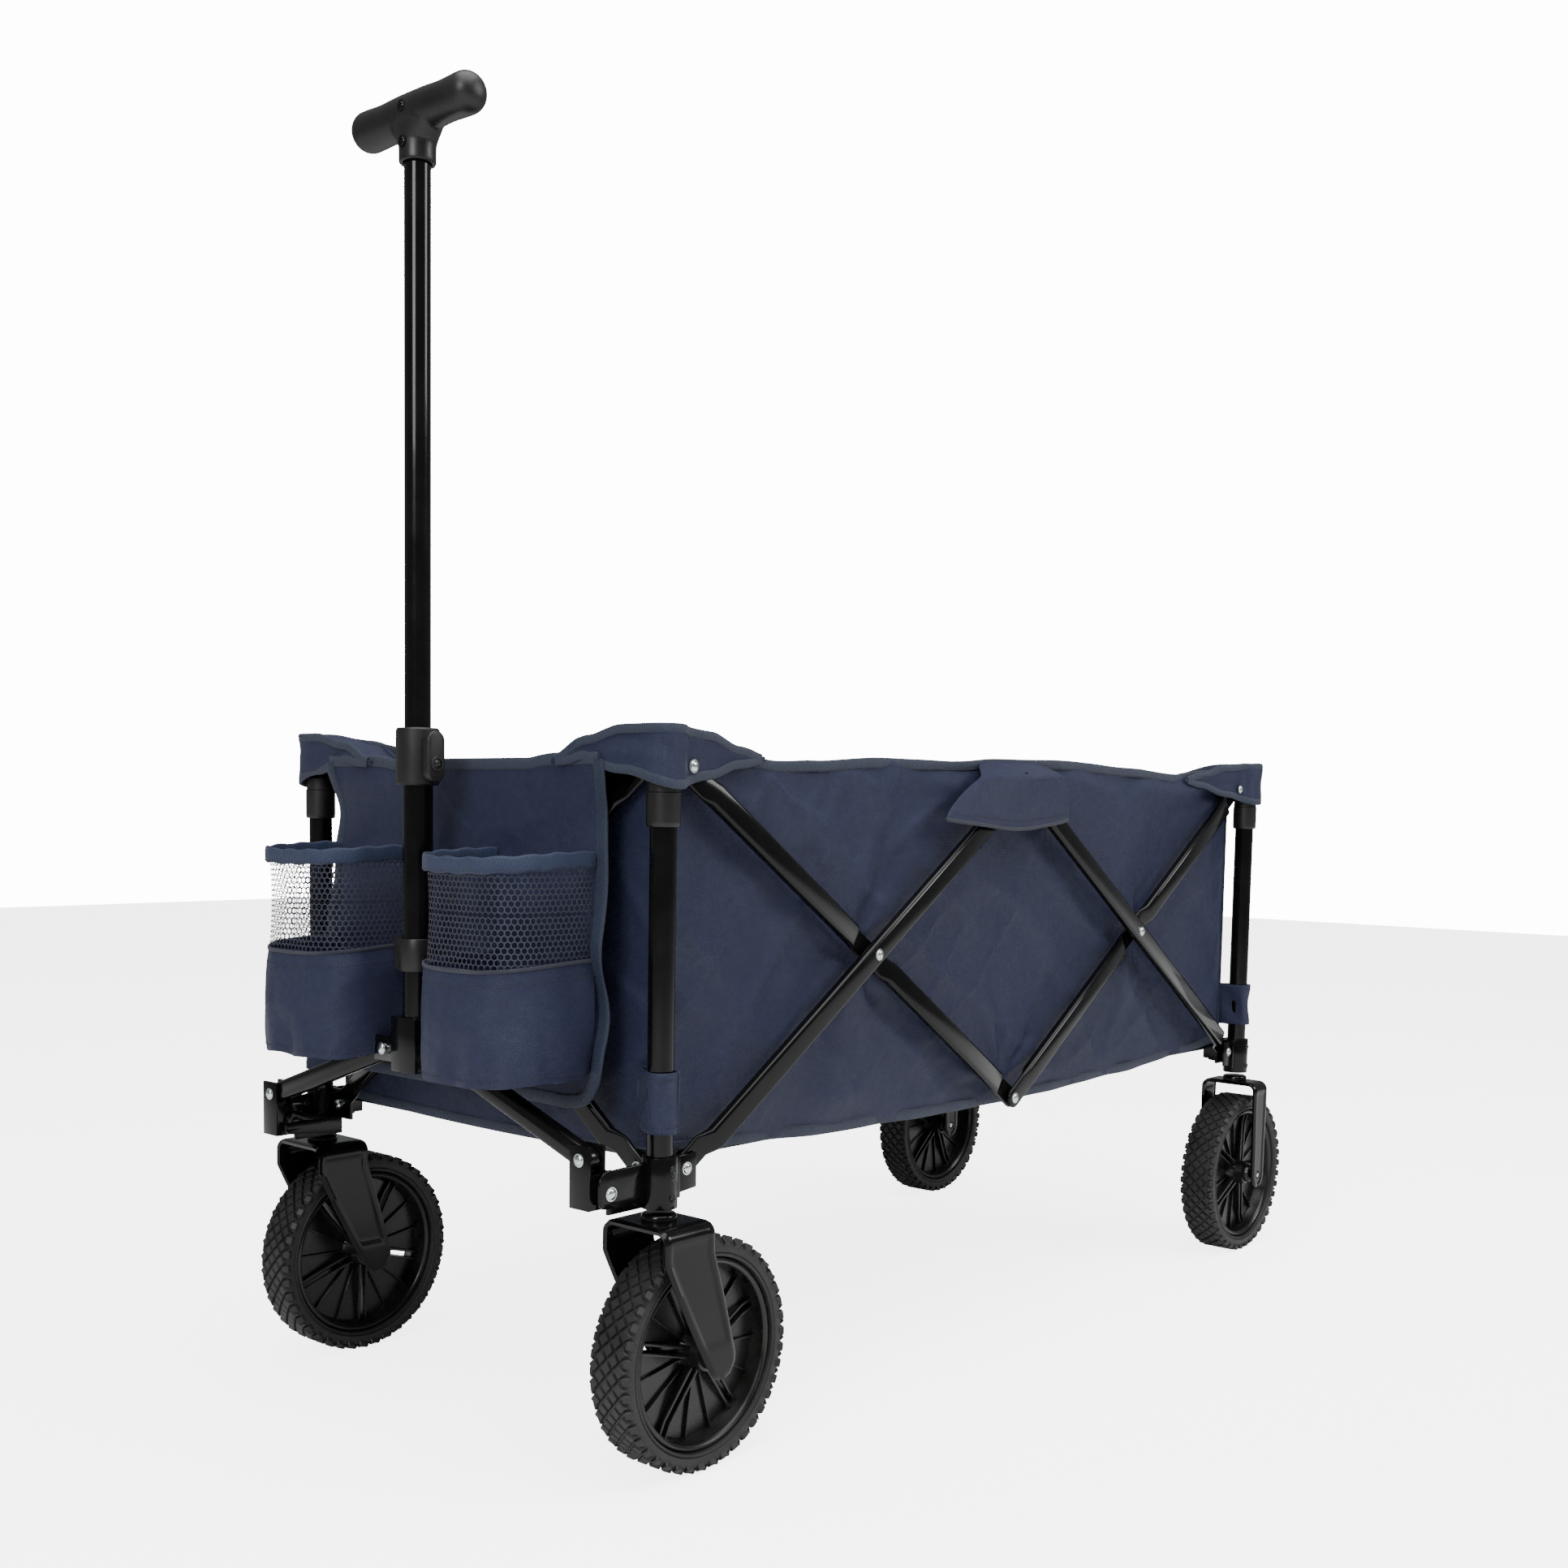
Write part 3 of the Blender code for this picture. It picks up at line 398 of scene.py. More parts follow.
def turned(outline, steps=40):
    """Spins (radius, height) points round Z. An outline that stays off the axis is closed into a ring."""
    shape = bmesh.new()
    points = [shape.verts.new((radius, 0, height)) for radius, height in outline]
    edges = [shape.edges.new(pair) for pair in zip(points, points[1:])]
    if min(outline[0][0], outline[-1][0]) > 0:
        edges.append(shape.edges.new((points[-1], points[0])))
    bmesh.ops.spin(shape, geom=points + edges, cent=(0, 0, 0), axis=(0, 0, 1), angle=2 * math.pi, steps=steps,
                   use_merge=True)
    bmesh.ops.remove_doubles(shape, verts=shape.verts, dist=1e-6)
    bmesh.ops.dissolve_degenerate(shape, edges=shape.edges, dist=1e-7)
    bmesh.ops.recalc_face_normals(shape, faces=shape.faces)
    return shape


def rounded(shape, edges, offset, segments=2, clamp_overlap=False):
    """Rounds some edges of a shape."""
    bmesh.ops.bevel(shape, geom=edges, offset=offset, affect="EDGES", segments=segments, profile=0.5, material=-1,
                    clamp_overlap=clamp_overlap)


def slab(outline, thickness, round_off=0.0, segments=2):
    """A flat outline of (x, y) points, pulled up along Z, with its edges rounded."""
    shape = bmesh.new()
    face = shape.faces.new([shape.verts.new((x, y, 0)) for x, y in outline])
    pulled = bmesh.ops.extrude_face_region(shape, geom=[face])["geom"]
    bmesh.ops.translate(shape, verts=[v for v in pulled if isinstance(v, bmesh.types.BMVert)], vec=(0, 0, thickness))
    bmesh.ops.recalc_face_normals(shape, faces=shape.faces)
    if round_off:
        rounded(shape, [e for e in shape.edges if e.calc_face_angle() > math.radians(35)], round_off, segments)
    return shape


def block(low, high, round_off=0.0, segments=2):
    """An upright block between two corners, with its edges rounded."""
    low, high = Vector(map(min, low, high)), Vector(map(max, low, high))
    shape = bmesh.new()
    size = Matrix.Diagonal((*(high - low), 1))
    bmesh.ops.create_cube(shape, size=1, matrix=Matrix.Translation((low + high) / 2) @ size)
    if round_off:
        rounded(shape, shape.edges, round_off, segments)
    return shape


def placed(shape, *matrices):
    """The shape after the matrices, from right to left. A mirroring one turns its faces round again."""
    for matrix in reversed(matrices):
        bmesh.ops.transform(shape, matrix=matrix, verts=shape.verts)
        if matrix.determinant() < 0:
            bmesh.ops.reverse_faces(shape, faces=shape.faces)
    return shape


def piece(name, shapes, finish, body, replaces=(), smooth=38):
    """One object from placed shapes. It rides on a body and may stand for working nodes."""
    data = bpy.data.meshes.new(name)
    whole = bmesh.new()
    for shape in shapes:
        shape.to_mesh(data)
        shape.free()
        whole.from_mesh(data)
    whole.to_mesh(data)
    whole.free()
    data.materials.append(finish)
    data.shade_smooth()
    data.set_sharp_from_angle(angle=math.radians(smooth))
    made = bpy.data.objects.new(name, data)
    bpy.context.scene.collection.objects.link(made)
    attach(made, body)
    if replaces:
        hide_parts(*replaces)
    return made


def post_place(end, side, height=0.0):
    """To a height on a post's axis."""
    return Matrix.Translation((POST_X[end], SIDES[side] * POST_Y, height))


def corner_place(end, side):
    """From a corner's own axes, X outward along the length and Y outward to the side, to the wagon's."""
    return post_place(end, side) @ Matrix.Diagonal((ENDS[end], SIDES[side], 1, 1))


print("shape helpers ready")

# %% [markdown]
# ## Tyres
# The tyre is solid rubber on a moulded rim. Its tread is a lattice of raised diamonds, three across, and each row ends
# in a lug that wraps over the shoulder. The plain ring is turned, and then each diamond is a four-sided cone with its
# tip cut off, set on the ring and repeated round it.

# %% Tyres
WHEEL_RADIUS = extent("tyre_front_right").z / 2
TYRE_HALF = extent("tyre_front_right").y / 2
RIM_OUTER = extent("rim_front_right").z / 2
TREAD_ROWS = 42
TREAD_DEPTH = 0.0026
TREAD_PITCH = 2 * TYRE_HALF / 3
TREAD_ROOT = 0.0015  # how deep a block stands in the ring
axis_y = stand((0, 0, 0), (0, 1, 0))


def ring_step(number, count):
    """A turn about the wheel's axle, that brings what stands on Z to its place on the ring."""
    return Matrix.Rotation(2 * math.pi * number / count, 4, "Y")


def tyre_shapes():
    """The plain ring with its side ribs, the diamonds and the shoulder lugs, round the origin."""
    base, half = WHEEL_RADIUS - TREAD_DEPTH, TYRE_HALF - 0.0012
    side = [(RIM_OUTER + 0.0004, half - 0.0030), (RIM_OUTER + 0.0012, half - 0.0008)]
    side += [(r, half + rise) for r, rise in ((RIM_OUTER + 0.0030, 0.0), (RIM_OUTER + 0.0038, -0.0009),
                                              (RIM_OUTER + 0.0046, 0.0), (RIM_OUTER + 0.0062, 0.0001))]
    side += arc((base - 0.005, half - 0.005), 0.005, 90, 0, 5) + [(base + 0.0003, 0.004)]
    outline = side + [(r, -h) for r, h in reversed(side)]
    shapes = [placed(turned(outline, 96), axis_y)]
    pitch = 2 * math.pi * WHEEL_RADIUS / TREAD_ROWS
    for row in range(2 * TREAD_ROWS):
        across = (-1, 0, 1) if row % 2 == 0 else (-0.5, 0.5)
        for place in across:
            diamond = bmesh.new()
            bmesh.ops.create_cone(diamond, cap_ends=True, segments=4, radius1=0.49, radius2=0.36, depth=1.0)
            size = Matrix.Diagonal((pitch * 0.93, TREAD_PITCH * 0.93, TREAD_DEPTH + TREAD_ROOT, 1))
            out = Matrix.Translation((0, place * TREAD_PITCH, base + (TREAD_DEPTH - TREAD_ROOT) / 2 - 0.0002))
            shapes.append(placed(diamond, ring_step(row, 2 * TREAD_ROWS), out, size))
    for row in range(TREAD_ROWS):
        for way in (-1, 1):
            lug = block((-0.0036, -0.0034, -0.0048), (0.0036, 0.0031, 0.0036), 0.0009, 1)
            tilt = Matrix.Translation((0, way * (half - 0.0022), base - 0.0028)) @ Matrix.Rotation(-way * 0.62, 4, "X")
            shapes.append(placed(lug, ring_step(row + 0.5, TREAD_ROWS), tilt))
    return shapes


for end, side in CORNERS:
    name = f"{end}_{side}"
    hub = JOINTS[f"wheel_spin_{name}"]
    shapes = [placed(shape, Matrix.Translation(hub)) for shape in tyre_shapes()]
    tyre = piece(f"treaded_tyre_{name}", shapes, RUBBER, f"wheel_{name}", [f"tyre_{name}"], 32)
print("a tyre has", len(tyre.data.polygons), "faces")

# %% [markdown]
# ## Rims
# The rim is one moulding: an outer lip, a deep barrel, a web across the middle, and a hub that the axle runs through.
# Five pairs of ribs stand on the web with a slot between them, and thin ribs stand between the pairs. Most of it is
# turned in one outline, and the web is made of sectors so that the slots are real openings.

# %% Rims
RIM_HALF = 0.0165
RIM_WALL = 0.0060
WEB_HALF = 0.002
HUB_HALF = extent("rim_front_right").y / 2
HUB_RADIUS = 0.0155
AXLE_RADIUS = 0.0053
SLOTS = 5
SLOT_HALF = 0.0026
RIB_HALF = 0.0012
RIB_DEPTH = 0.0095


def sector(slot_number):
    """The part of the web between two slots: its outline follows both arcs and both slot edges."""
    inner, outer = HUB_RADIUS - 0.001, RIM_OUTER - RIM_WALL + 0.0008
    middle_angle = 360 * (slot_number + 0.5) / SLOTS
    spread = 180 / SLOTS
    outline = []
    for radius, way in ((outer, 1), (inner, -1)):
        open_by = math.degrees(math.asin(SLOT_HALF / radius))
        reach = spread - open_by
        outline += arc((0, 0), radius, middle_angle - way * reach, middle_angle + way * reach, 14)
    return placed(slab(outline, 2 * WEB_HALF), Matrix.Translation((0, 0, -WEB_HALF)))


def rim_shapes():
    """All of a rim round the origin, with its axle along Z."""
    inner = RIM_OUTER - RIM_WALL
    lip = [(RIM_OUTER - 0.0002, 0.0), (RIM_OUTER - 0.0002, RIM_HALF - 0.001), (RIM_OUTER - 0.0011, RIM_HALF)]
    lip += [(RIM_OUTER - 0.0028, RIM_HALF + 0.0006), (RIM_OUTER - 0.0044, RIM_HALF)]
    lip += [(inner + 0.0006, RIM_HALF - 0.0014), (inner, RIM_HALF - 0.003), (inner - 0.0008, 0.0045)]
    lip += [(inner - 0.0026, WEB_HALF - 0.0002)]
    barrel = turned(lip + [(r, -h) for r, h in reversed(lip) if h], 96)
    cup = [(AXLE_RADIUS, HUB_HALF - 0.0006), (AXLE_RADIUS + 0.0006, HUB_HALF), (0.0098, HUB_HALF)]
    cup += [(0.0105, HUB_HALF - 0.0008), (0.0108, HUB_HALF - 0.006), (0.0128, HUB_HALF - 0.0068)]
    cup += [(0.0138, 0.012), (HUB_RADIUS, 0.0045), (HUB_RADIUS + 0.0022, WEB_HALF - 0.0003)]
    boss = turned(cup + [(r, -h) for r, h in reversed(cup)], 48)
    shapes = [barrel, boss]
    for number in range(SLOTS):
        shapes.append(sector(number))
        turn_out = Matrix.Rotation(2 * math.pi * number / SLOTS, 4, "Z")
        for way in (-1, 1):
            for face in (-1, 1):
                profile = [(HUB_RADIUS - 0.002, 0), (inner + 0.001, 0), (inner + 0.001, RIB_DEPTH * 0.75),
                           (inner - 0.012, RIB_DEPTH * 0.62), (HUB_RADIUS + 0.008, RIB_DEPTH * 1.1),
                           (HUB_RADIUS - 0.002, RIB_DEPTH * 1.2)]
                rib = slab(profile, 2 * RIB_HALF, 0.0005, 2)
                upright = Matrix.Rotation(math.pi / 2, 4, "X")
                aside = Matrix.Translation((0, way * (SLOT_HALF + RIB_HALF) + RIB_HALF, 0))
                shapes.append(placed(rib, turn_out, Matrix.Diagonal((1, 1, face, 1)), aside, upright))
        for share in (1 / 3, 2 / 3):
            between = Matrix.Rotation(2 * math.pi * (number + share) / SLOTS, 4, "Z")
            thin = block((HUB_RADIUS - 0.002, -0.0007, -0.0050), (inner + 0.001, 0.0007, 0.0050), 0.0003, 1)
            shapes.append(placed(thin, between))
    return shapes


RIM_TURNS = {"front_right": 0.25, "front_left": 0.9, "rear_right": 0.62, "rear_left": 0.4}
for end, side in CORNERS:
    name = f"{end}_{side}"
    hub = JOINTS[f"wheel_spin_{name}"]
    turn = Matrix.Rotation(RIM_TURNS[name], 4, "Y")
    shapes = [placed(shape, Matrix.Translation(hub), turn, axis_y) for shape in rim_shapes()]
    rim = piece(f"ribbed_rim_{name}", shapes, WHEEL_PLASTIC, f"wheel_{name}", [f"rim_{name}"])
print("a rim has", len(rim.data.polygons), "faces")

# %% [markdown]
# ## Forks
# Each fork is one strip of sheet steel, bent down on both sides of the wheel. The front pair are swept back, so that
# the casters trail, and a panel is pressed into each arm to stiffen it. The strip starts as a flat grid: its long way
# runs up one arm, over the crown and down the other, and its short way runs from the front edge to the rear edge.

# %% Forks
FORK_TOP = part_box("corner_bracket_front_right")[0].z - 0.0128
FORK_HALF = 0.0325
FORK_BEND = 0.0075
SHEET = 0.0032
FOOT_TRAILING, FOOT_FIXED = 0.0145, 0.0135
TRAIL = JOINTS["wheel_spin_front_right"].x - POST_X["front"]
AXLE_Z = JOINTS["wheel_spin_front_right"].z


def smoothstep(low, high, value):
    share = min(1, max(0, (value - low) / (high - low)))
    return share * share * (3 - 2 * share)


def curve_at(points, share):
    """A quadratic curve's value."""
    a, b, c = points
    return (1 - share) ** 2 * a + 2 * share * (1 - share) * b + share**2 * c


def arm_edges(height, trail):
    """Where a fork arm's front and rear edges are at a height, in the corner's own X with the front at +X."""
    foot = FOOT_TRAILING if trail else FOOT_FIXED
    if trail:
        low_front, low_rear, brow = AXLE_Z - 0.006, AXLE_Z + 0.006, FORK_TOP - 0.022
        front = 0.0265 if height > brow else curve_at((-trail + 0.0130, 0.004, 0.0265), (height - low_front) /
                                                     (brow - low_front))
        rear = -0.0265 if height > brow else curve_at((-trail - 0.0130, -0.040, -0.0265), (height - low_rear) /
                                                     (brow - low_rear))
    else:
        low_front = low_rear = AXLE_Z
        front = FOOT_FIXED + 0.002 * smoothstep(0.10, 0.20, height)
        rear = -front
    drop = AXLE_Z - height
    round_half = math.sqrt(max(0.0, foot * foot - drop * drop)) if abs(drop) < foot else 0
    if height < low_front:
        front = -trail + round_half
    if height < low_rear:
        rear = -trail - round_half
    return front, rear


def fork_strip(trail):
    """The strip's surface as a grid, round the post's axis, with X forward."""
    foot = FOOT_TRAILING if trail else FOOT_FIXED
    crown, bend = FORK_HALF - FORK_BEND, FORK_BEND * math.pi / 2
    arm = FORK_TOP - FORK_BEND - (AXLE_Z - foot * 0.985)
    whole = crown + bend + arm
    shape = bmesh.new()
    bmesh.ops.create_grid(shape, x_segments=96, y_segments=20, size=0.5)
    for vert in shape.verts:
        run, across = abs(vert.co.x) * 2 * whole, vert.co.y + 0.5
        way = 1 if vert.co.x > 0 else -1
        if run < crown:
            y, z, out = run, FORK_TOP, (0, 1)
        elif run < crown + bend:
            angle = (run - crown) / FORK_BEND
            y, z = crown + FORK_BEND * math.sin(angle), FORK_TOP - FORK_BEND * (1 - math.cos(angle))
            out = (math.sin(angle), math.cos(angle))
        else:
            y, z, out = FORK_HALF, FORK_TOP - FORK_BEND - (run - crown - bend), (1, 0)
        front, rear = arm_edges(z, trail)
        x = rear + (front - rear) * across
        edge = min(across, 1 - across) * (front - rear)
        pressed = smoothstep(0.0032, 0.0058, edge) * smoothstep(FORK_TOP - 0.006, FORK_TOP - 0.012, z)
        pressed *= smoothstep(AXLE_Z + 0.010, AXLE_Z + 0.016, z) if trail else 1.0
        rolled = 0.0012 * (1 - smoothstep(0.0, 0.0022, edge))
        depth = 0.0012 * pressed + rolled
        vert.co = (x, way * (y - out[0] * depth), z - out[1] * depth)
    bmesh.ops.recalc_face_normals(shape, faces=shape.faces)
    bmesh.ops.solidify(shape, geom=shape.faces, thickness=SHEET)
    bmesh.ops.recalc_face_normals(shape, faces=shape.faces)
    return shape


def bolt_head(radius, height):
    """A low domed rivet or bolt head on a thin washer, standing on Z."""
    dome = [(radius * math.cos(math.radians(a)), 0.0006 + height * math.sin(math.radians(a))) for a in range(0, 90, 15)]
    return turned([(0, 0), (radius * 1.22, 0), (radius * 1.22, 0.0005), (radius * 1.05, 0.0006)] + dome
                  + [(0, 0.0006 + height)], 28)


for end, side in CORNERS:
    name = f"{end}_{side}"
    trail = TRAIL if end == "front" else 0.0
    forward = post_place(end, side) @ Matrix.Diagonal((-1, 1, 1, 1))
    reach = FORK_HALF + 0.002
    axle = turned([(0, -reach), (0.0048, -reach), (0.0048, reach), (0, reach)], 24)
    cup = turned([(0, -0.0030), (0.0135, -0.0030), (0.0140, 0.0), (0.0140, 0.0035), (0.0125, 0.0050), (0, 0.0050)], 40)
    shapes = [placed(fork_strip(trail), forward), placed(axle, stand(JOINTS[f"wheel_spin_{name}"], (0, 1, 0))),
              placed(cup, post_place(end, side, FORK_TOP + 0.0035))]
    fork = piece(f"pressed_fork_{name}", shapes, PAINT, BODY_OF[f"fork_{name}"], [f"fork_{name}"], 50)
    heads = []
    for way in (-1, 1):
        spot = JOINTS[f"wheel_spin_{name}"] + Vector((0, way * (FORK_HALF - 0.0002), 0))
        heads.append(placed(bolt_head(0.0046, 0.0022), stand(spot, (0, way, 0))))
    washer = turned([(0.006, 0), (0.0128, 0), (0.0128, 0.0012), (0.006, 0.0012)], 40)
    heads.append(placed(washer, post_place(end, side, FORK_TOP + 0.0006)))
    piece(f"axle_bolt_{name}", heads, ZINC, BODY_OF[f"fork_{name}"])
print("a fork has", len(fork.data.polygons), "faces")

# %% [markdown]
# ## Pressed steel
# The bars, brackets and clevises already have their real outlines in the working model, but its meshes are loose
# triangles with knife edges. A copy is merged and its flat faces are made whole again. Then every sharp edge is
# rounded, because painted sheet steel never has a sharp corner, and it is the rounded edges that catch the light.


# %% Refined copies
CORNER_ANGLE = math.radians(50)


def refined(name, round_off):
    """A merged copy of a working node with its sharp edges rounded."""
    shape = bmesh.new()
    shape.from_mesh(frame["nodes"][name].data)
    bmesh.ops.remove_doubles(shape, verts=shape.verts, dist=2e-5)
    bmesh.ops.dissolve_limit(shape, angle_limit=math.radians(1.5), verts=shape.verts, edges=shape.edges)
    sharp = [e for e in shape.edges if len(e.link_faces) == 2 and e.calc_face_angle() > CORNER_ANGLE]
    rounded(shape, sharp, round_off, clamp_overlap=True)
    return shape


BARS = [name for name in frame["nodes"] if "_bar_" in name]
for name in BARS:
    piece(f"painted_{name}", [refined(name, 0.0004)], PAINT, BODY_OF[name], [name], 45)
for name in ("yoke_clevis_right", "yoke_clevis_left", "yoke_bracket"):
    piece(f"painted_{name}", [refined(name, 0.0012)], PAINT, BODY_OF[name], [name])
print("refined", len(BARS), "bars")

# %% [markdown]
# ## Corner posts
# Each post is a steel tube that slides in a wider one, with a plastic guide on the mouth of the wider tube. The guide
# is turned with a step where its wall gets thicker. The upper tube ends in a head that the top bars are riveted to.

# %% Corner posts
foot, top = (corner.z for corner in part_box("post_sleeve_front_right"))
SLEEVE_RADIUS = extent("post_sleeve_front_right").x / 2
INNER_RADIUS = POST_RADIUS - 0.0018
for end, side in CORNERS:
    name, axis = f"{end}_{side}", post_place(end, side)
    low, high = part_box(f"lower_post_{name}")
    tube = turned([(POST_RADIUS - 0.0012, low.z), (POST_RADIUS, low.z), (POST_RADIUS, high.z),
                   (POST_RADIUS - 0.0012, high.z)], 48)
    piece(f"outer_tube_{name}", [placed(tube, axis)], PAINT, f"lower_corner_{name}",
          [f"lower_post_{name}"])
    guide = [(POST_RADIUS + 0.0003, foot), (SLEEVE_RADIUS - 0.0009, foot), (SLEEVE_RADIUS - 0.0002, foot + 0.0009)]
    guide += [(SLEEVE_RADIUS, foot + 0.004), (SLEEVE_RADIUS, top - 0.0125), (SLEEVE_RADIUS - 0.0007, top - 0.0118)]
    guide += [(SLEEVE_RADIUS - 0.0006, top - 0.0014), (SLEEVE_RADIUS - 0.0018, top), (INNER_RADIUS + 0.0004, top)]
    guide += [(INNER_RADIUS + 0.0004, top - 0.012), (POST_RADIUS + 0.0003, top - 0.012)]
    piece(f"sliding_guide_{name}", [placed(turned(guide, 48), axis)], PLASTIC, f"lower_corner_{name}",
          [f"post_sleeve_{name}"])
    low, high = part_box(f"upper_post_{name}")
    inner = turned([(0, low.z), (INNER_RADIUS, low.z), (INNER_RADIUS, high.z - 0.012), (0, high.z - 0.012)], 48)
    piece(f"inner_tube_{name}", [placed(inner, axis), refined(f"upper_post_{name}", 0.0010)], PAINT,
          f"upper_corner_{name}", [f"upper_post_{name}"])
print("posts dressed")

# %% [markdown]
# ## Lower brackets
# At the foot of each post a pressed housing holds the tube, the ends of two bars and, at the front, the ears that the
# handle's clevis tilts between. A bar's end runs between two flange plates. The outer plate steps in towards its
# rivet, and the housing is closed with two black cross-head screws, with a spare hole between them.

# %% Lower brackets
BRACKET_FOOT, BRACKET_TOP = (corner.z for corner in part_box("corner_bracket_rear_right"))
HOUSING_RADIUS = POST_RADIUS + 0.0037
SIDE_INSET = abs(JOINTS["fold"].x - POST_X["front"])
END_INSET = POST_Y - abs(JOINTS["fold_end_front"].y)
upright = Matrix.Rotation(math.pi / 2, 4, "X")
TILT = JOINTS["handle_tilt"]
EAR_GAP, EAR_SHEET = 0.0140, 0.0028
SCREW_RISES = (0.0046, -0.0181)
X_FOR_Y = Matrix(((0, 1, 0, 0), (1, 0, 0, 0), (0, 0, 1, 0), (0, 0, 0, 1)))


def flange(reach, face):
    """The stepped outer plate beside the post, with its face a little proud of the bar's end. Its Z runs up."""
    low, high, root = LOWER_Z - 0.0215, LOWER_Z + 0.0125, -0.004
    near = [(root, low - 0.002), (root, high + 0.0015), (-0.0125, high + 0.0005), (-0.0185, high), (-0.0185, low)]
    far = [(-0.017, low + 0.003), (-0.017, high - 0.001), (-reach, high - 0.001), (-reach, low + 0.005)]
    inward = Matrix.Translation((0, face, 0)) @ upright
    return [placed(slab(near[::-1], 0.0025, 0.0008), Matrix.Translation((0, 0.0028, 0)), inward),
            placed(slab(far[::-1], 0.0025, 0.0008), Matrix.Translation((0, 0.0012, 0)), inward)]


def cross_screw(radius):
    """A black pan-head screw with its cross recess left as four quarter lobes."""
    shapes = [turned([(0, 0), (radius, 0), (radius, 0.0007), (radius * 0.82, 0.0012), (0, 0.0012)], 24)]
    for quarter in range(4):
        lobe = block((0.0005, 0.0005, 0.0008), (radius * 0.62, radius * 0.62, 0.0019), 0.0004, 2)
        shapes.append(placed(lobe, Matrix.Rotation(math.pi / 2 * quarter + 0.4, 4, "Z")))
    return shapes


for end, side in CORNERS:
    name = f"{end}_{side}"
    body, corner = f"lower_corner_{name}", corner_place(end, side)
    shapes = [refined(f"corner_bracket_{name}", 0.0008)]
    shapes += [placed(shape, corner) for shape in flange(SIDE_INSET + 0.0115, 0.0024)]
    if end == "rear":
        shapes += [placed(shape, corner, X_FOR_Y) for shape in flange(END_INSET + 0.0115, 0.0024)]
    else:
        ear = [(POST_X[end] - 0.002, BRACKET_FOOT + 0.002), (POST_X[end] - 0.002, BRACKET_TOP - 0.001)]
        ear += [(POST_X[end] - 0.020, BRACKET_TOP - 0.004)]
        ear += arc((TILT.x - 0.001, TILT.z + 0.007), 0.0115, 70, 180, 8)
        ear += arc((TILT.x - 0.006, TILT.z - 0.0045), 0.0065, 180, 265, 5)
        for inner_ear in (True, False):
            outline = [(x, min(z, LOWER_Z - 0.0098)) for x, z in ear] if inner_ear else ear
            face = JOINTS[f"yoke_fold_{side}"].y + SIDES[side] * (-EAR_GAP if inner_ear else EAR_GAP)
            plate = placed(slab(outline, EAR_SHEET, 0.0008), Matrix.Translation((0, face, 0)), upright)
            if (side == "left") != inner_ear:
                plate = placed(plate, Matrix.Translation((0, EAR_SHEET, 0)))
            shapes.append(plate)
    piece(f"pressed_bracket_{name}", shapes, PAINT, body, [f"corner_bracket_{name}"])
    screws = []
    for rise in SCREW_RISES:
        out = Vector((0, HOUSING_RADIUS - 0.0002, LOWER_Z + rise))
        screws += [placed(shape, corner, stand(out, (0, 1, 0))) for shape in cross_screw(0.0030)]
    spare = turned([(0.0009, -0.0008), (0.0021, -0.0008), (0.0022, 0.0001), (0.0017, 0.0003), (0.0009, -0.0006)], 24)
    screws.append(placed(spare, corner, stand((0, HOUSING_RADIUS, LOWER_Z - 0.0024), (0, 1, 0))))
    piece(f"bracket_screws_{name}", screws, BLACK_STEEL, body)
print("brackets dressed")

# %% [markdown]
# ## Rivets
# Every pivot is a zinc-plated rivet with a low dome, and each one rides on the body that its head sits on. A joint's
# place gives the pivot, and the layer that is outermost there gives how far out the head stands.

# %% Rivets
FRAME_REACH = abs(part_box("side_bar_rising_right_front")[0].y) - POST_Y
HEAD_OUT = 0.0088  # how far ahead of a yoke pivot its rivet's head stands
rivets = []


def rivet(name, point, out, body, radius=0.0043):
    rivets.append(piece(f"rivet_{name}", [placed(bolt_head(radius, 0.0021), stand(point, out))], ZINC, body))


for side, way in SIDES.items():
    out = Vector((0, way, 0))

    def on_side(x, z, reach):
        return Vector((x, way * (POST_Y + reach), z))

    for end, sign in ENDS.items():
        x = POST_X[end] - sign * SIDE_INSET
        rivet(f"foot_{end}_{side}", on_side(x, LOWER_Z, 0.0036), out, f"lower_corner_{end}_{side}")
        rivet(f"head_{end}_{side}", on_side(x, UPPER_Z + 0.002, 0.0058), out, f"upper_corner_{end}_{side}")
        cross = JOINTS[f"fold_cross_{side}_{end}"]
        rivet(f"cross_{end}_{side}", on_side(cross.x, cross.z, FRAME_REACH), out, f"side_bar_rising_{side}_{end}")
    rivet(f"top_{side}", on_side(CENTRE_X, UPPER_Z, 0.0086), out, f"side_bar_rising_{side}_rear")
    rivet(f"bottom_{side}", on_side(CENTRE_X, LOWER_Z, 0.0043), out, f"side_bar_falling_{side}_rear")
    rivet(f"yoke_foot_{side}", JOINTS[f"yoke_fold_{side}"] + Vector((-HEAD_OUT, 0, 0)), (-1, 0, 0),
          f"yoke_clevis_{side}")
    level = JOINTS["yoke_level"]
    rivet(f"yoke_head_{side}", Vector((level.x - HEAD_OUT, way * abs(level.y), level.z)), (-1, 0, 0), "handle_lower")
    tilt = Vector((TILT.x, JOINTS[f"yoke_fold_{side}"].y + way * 0.0168, TILT.z))
    rivet(f"tilt_{side}", tilt, out, f"lower_corner_front_{side}", 0.0046)
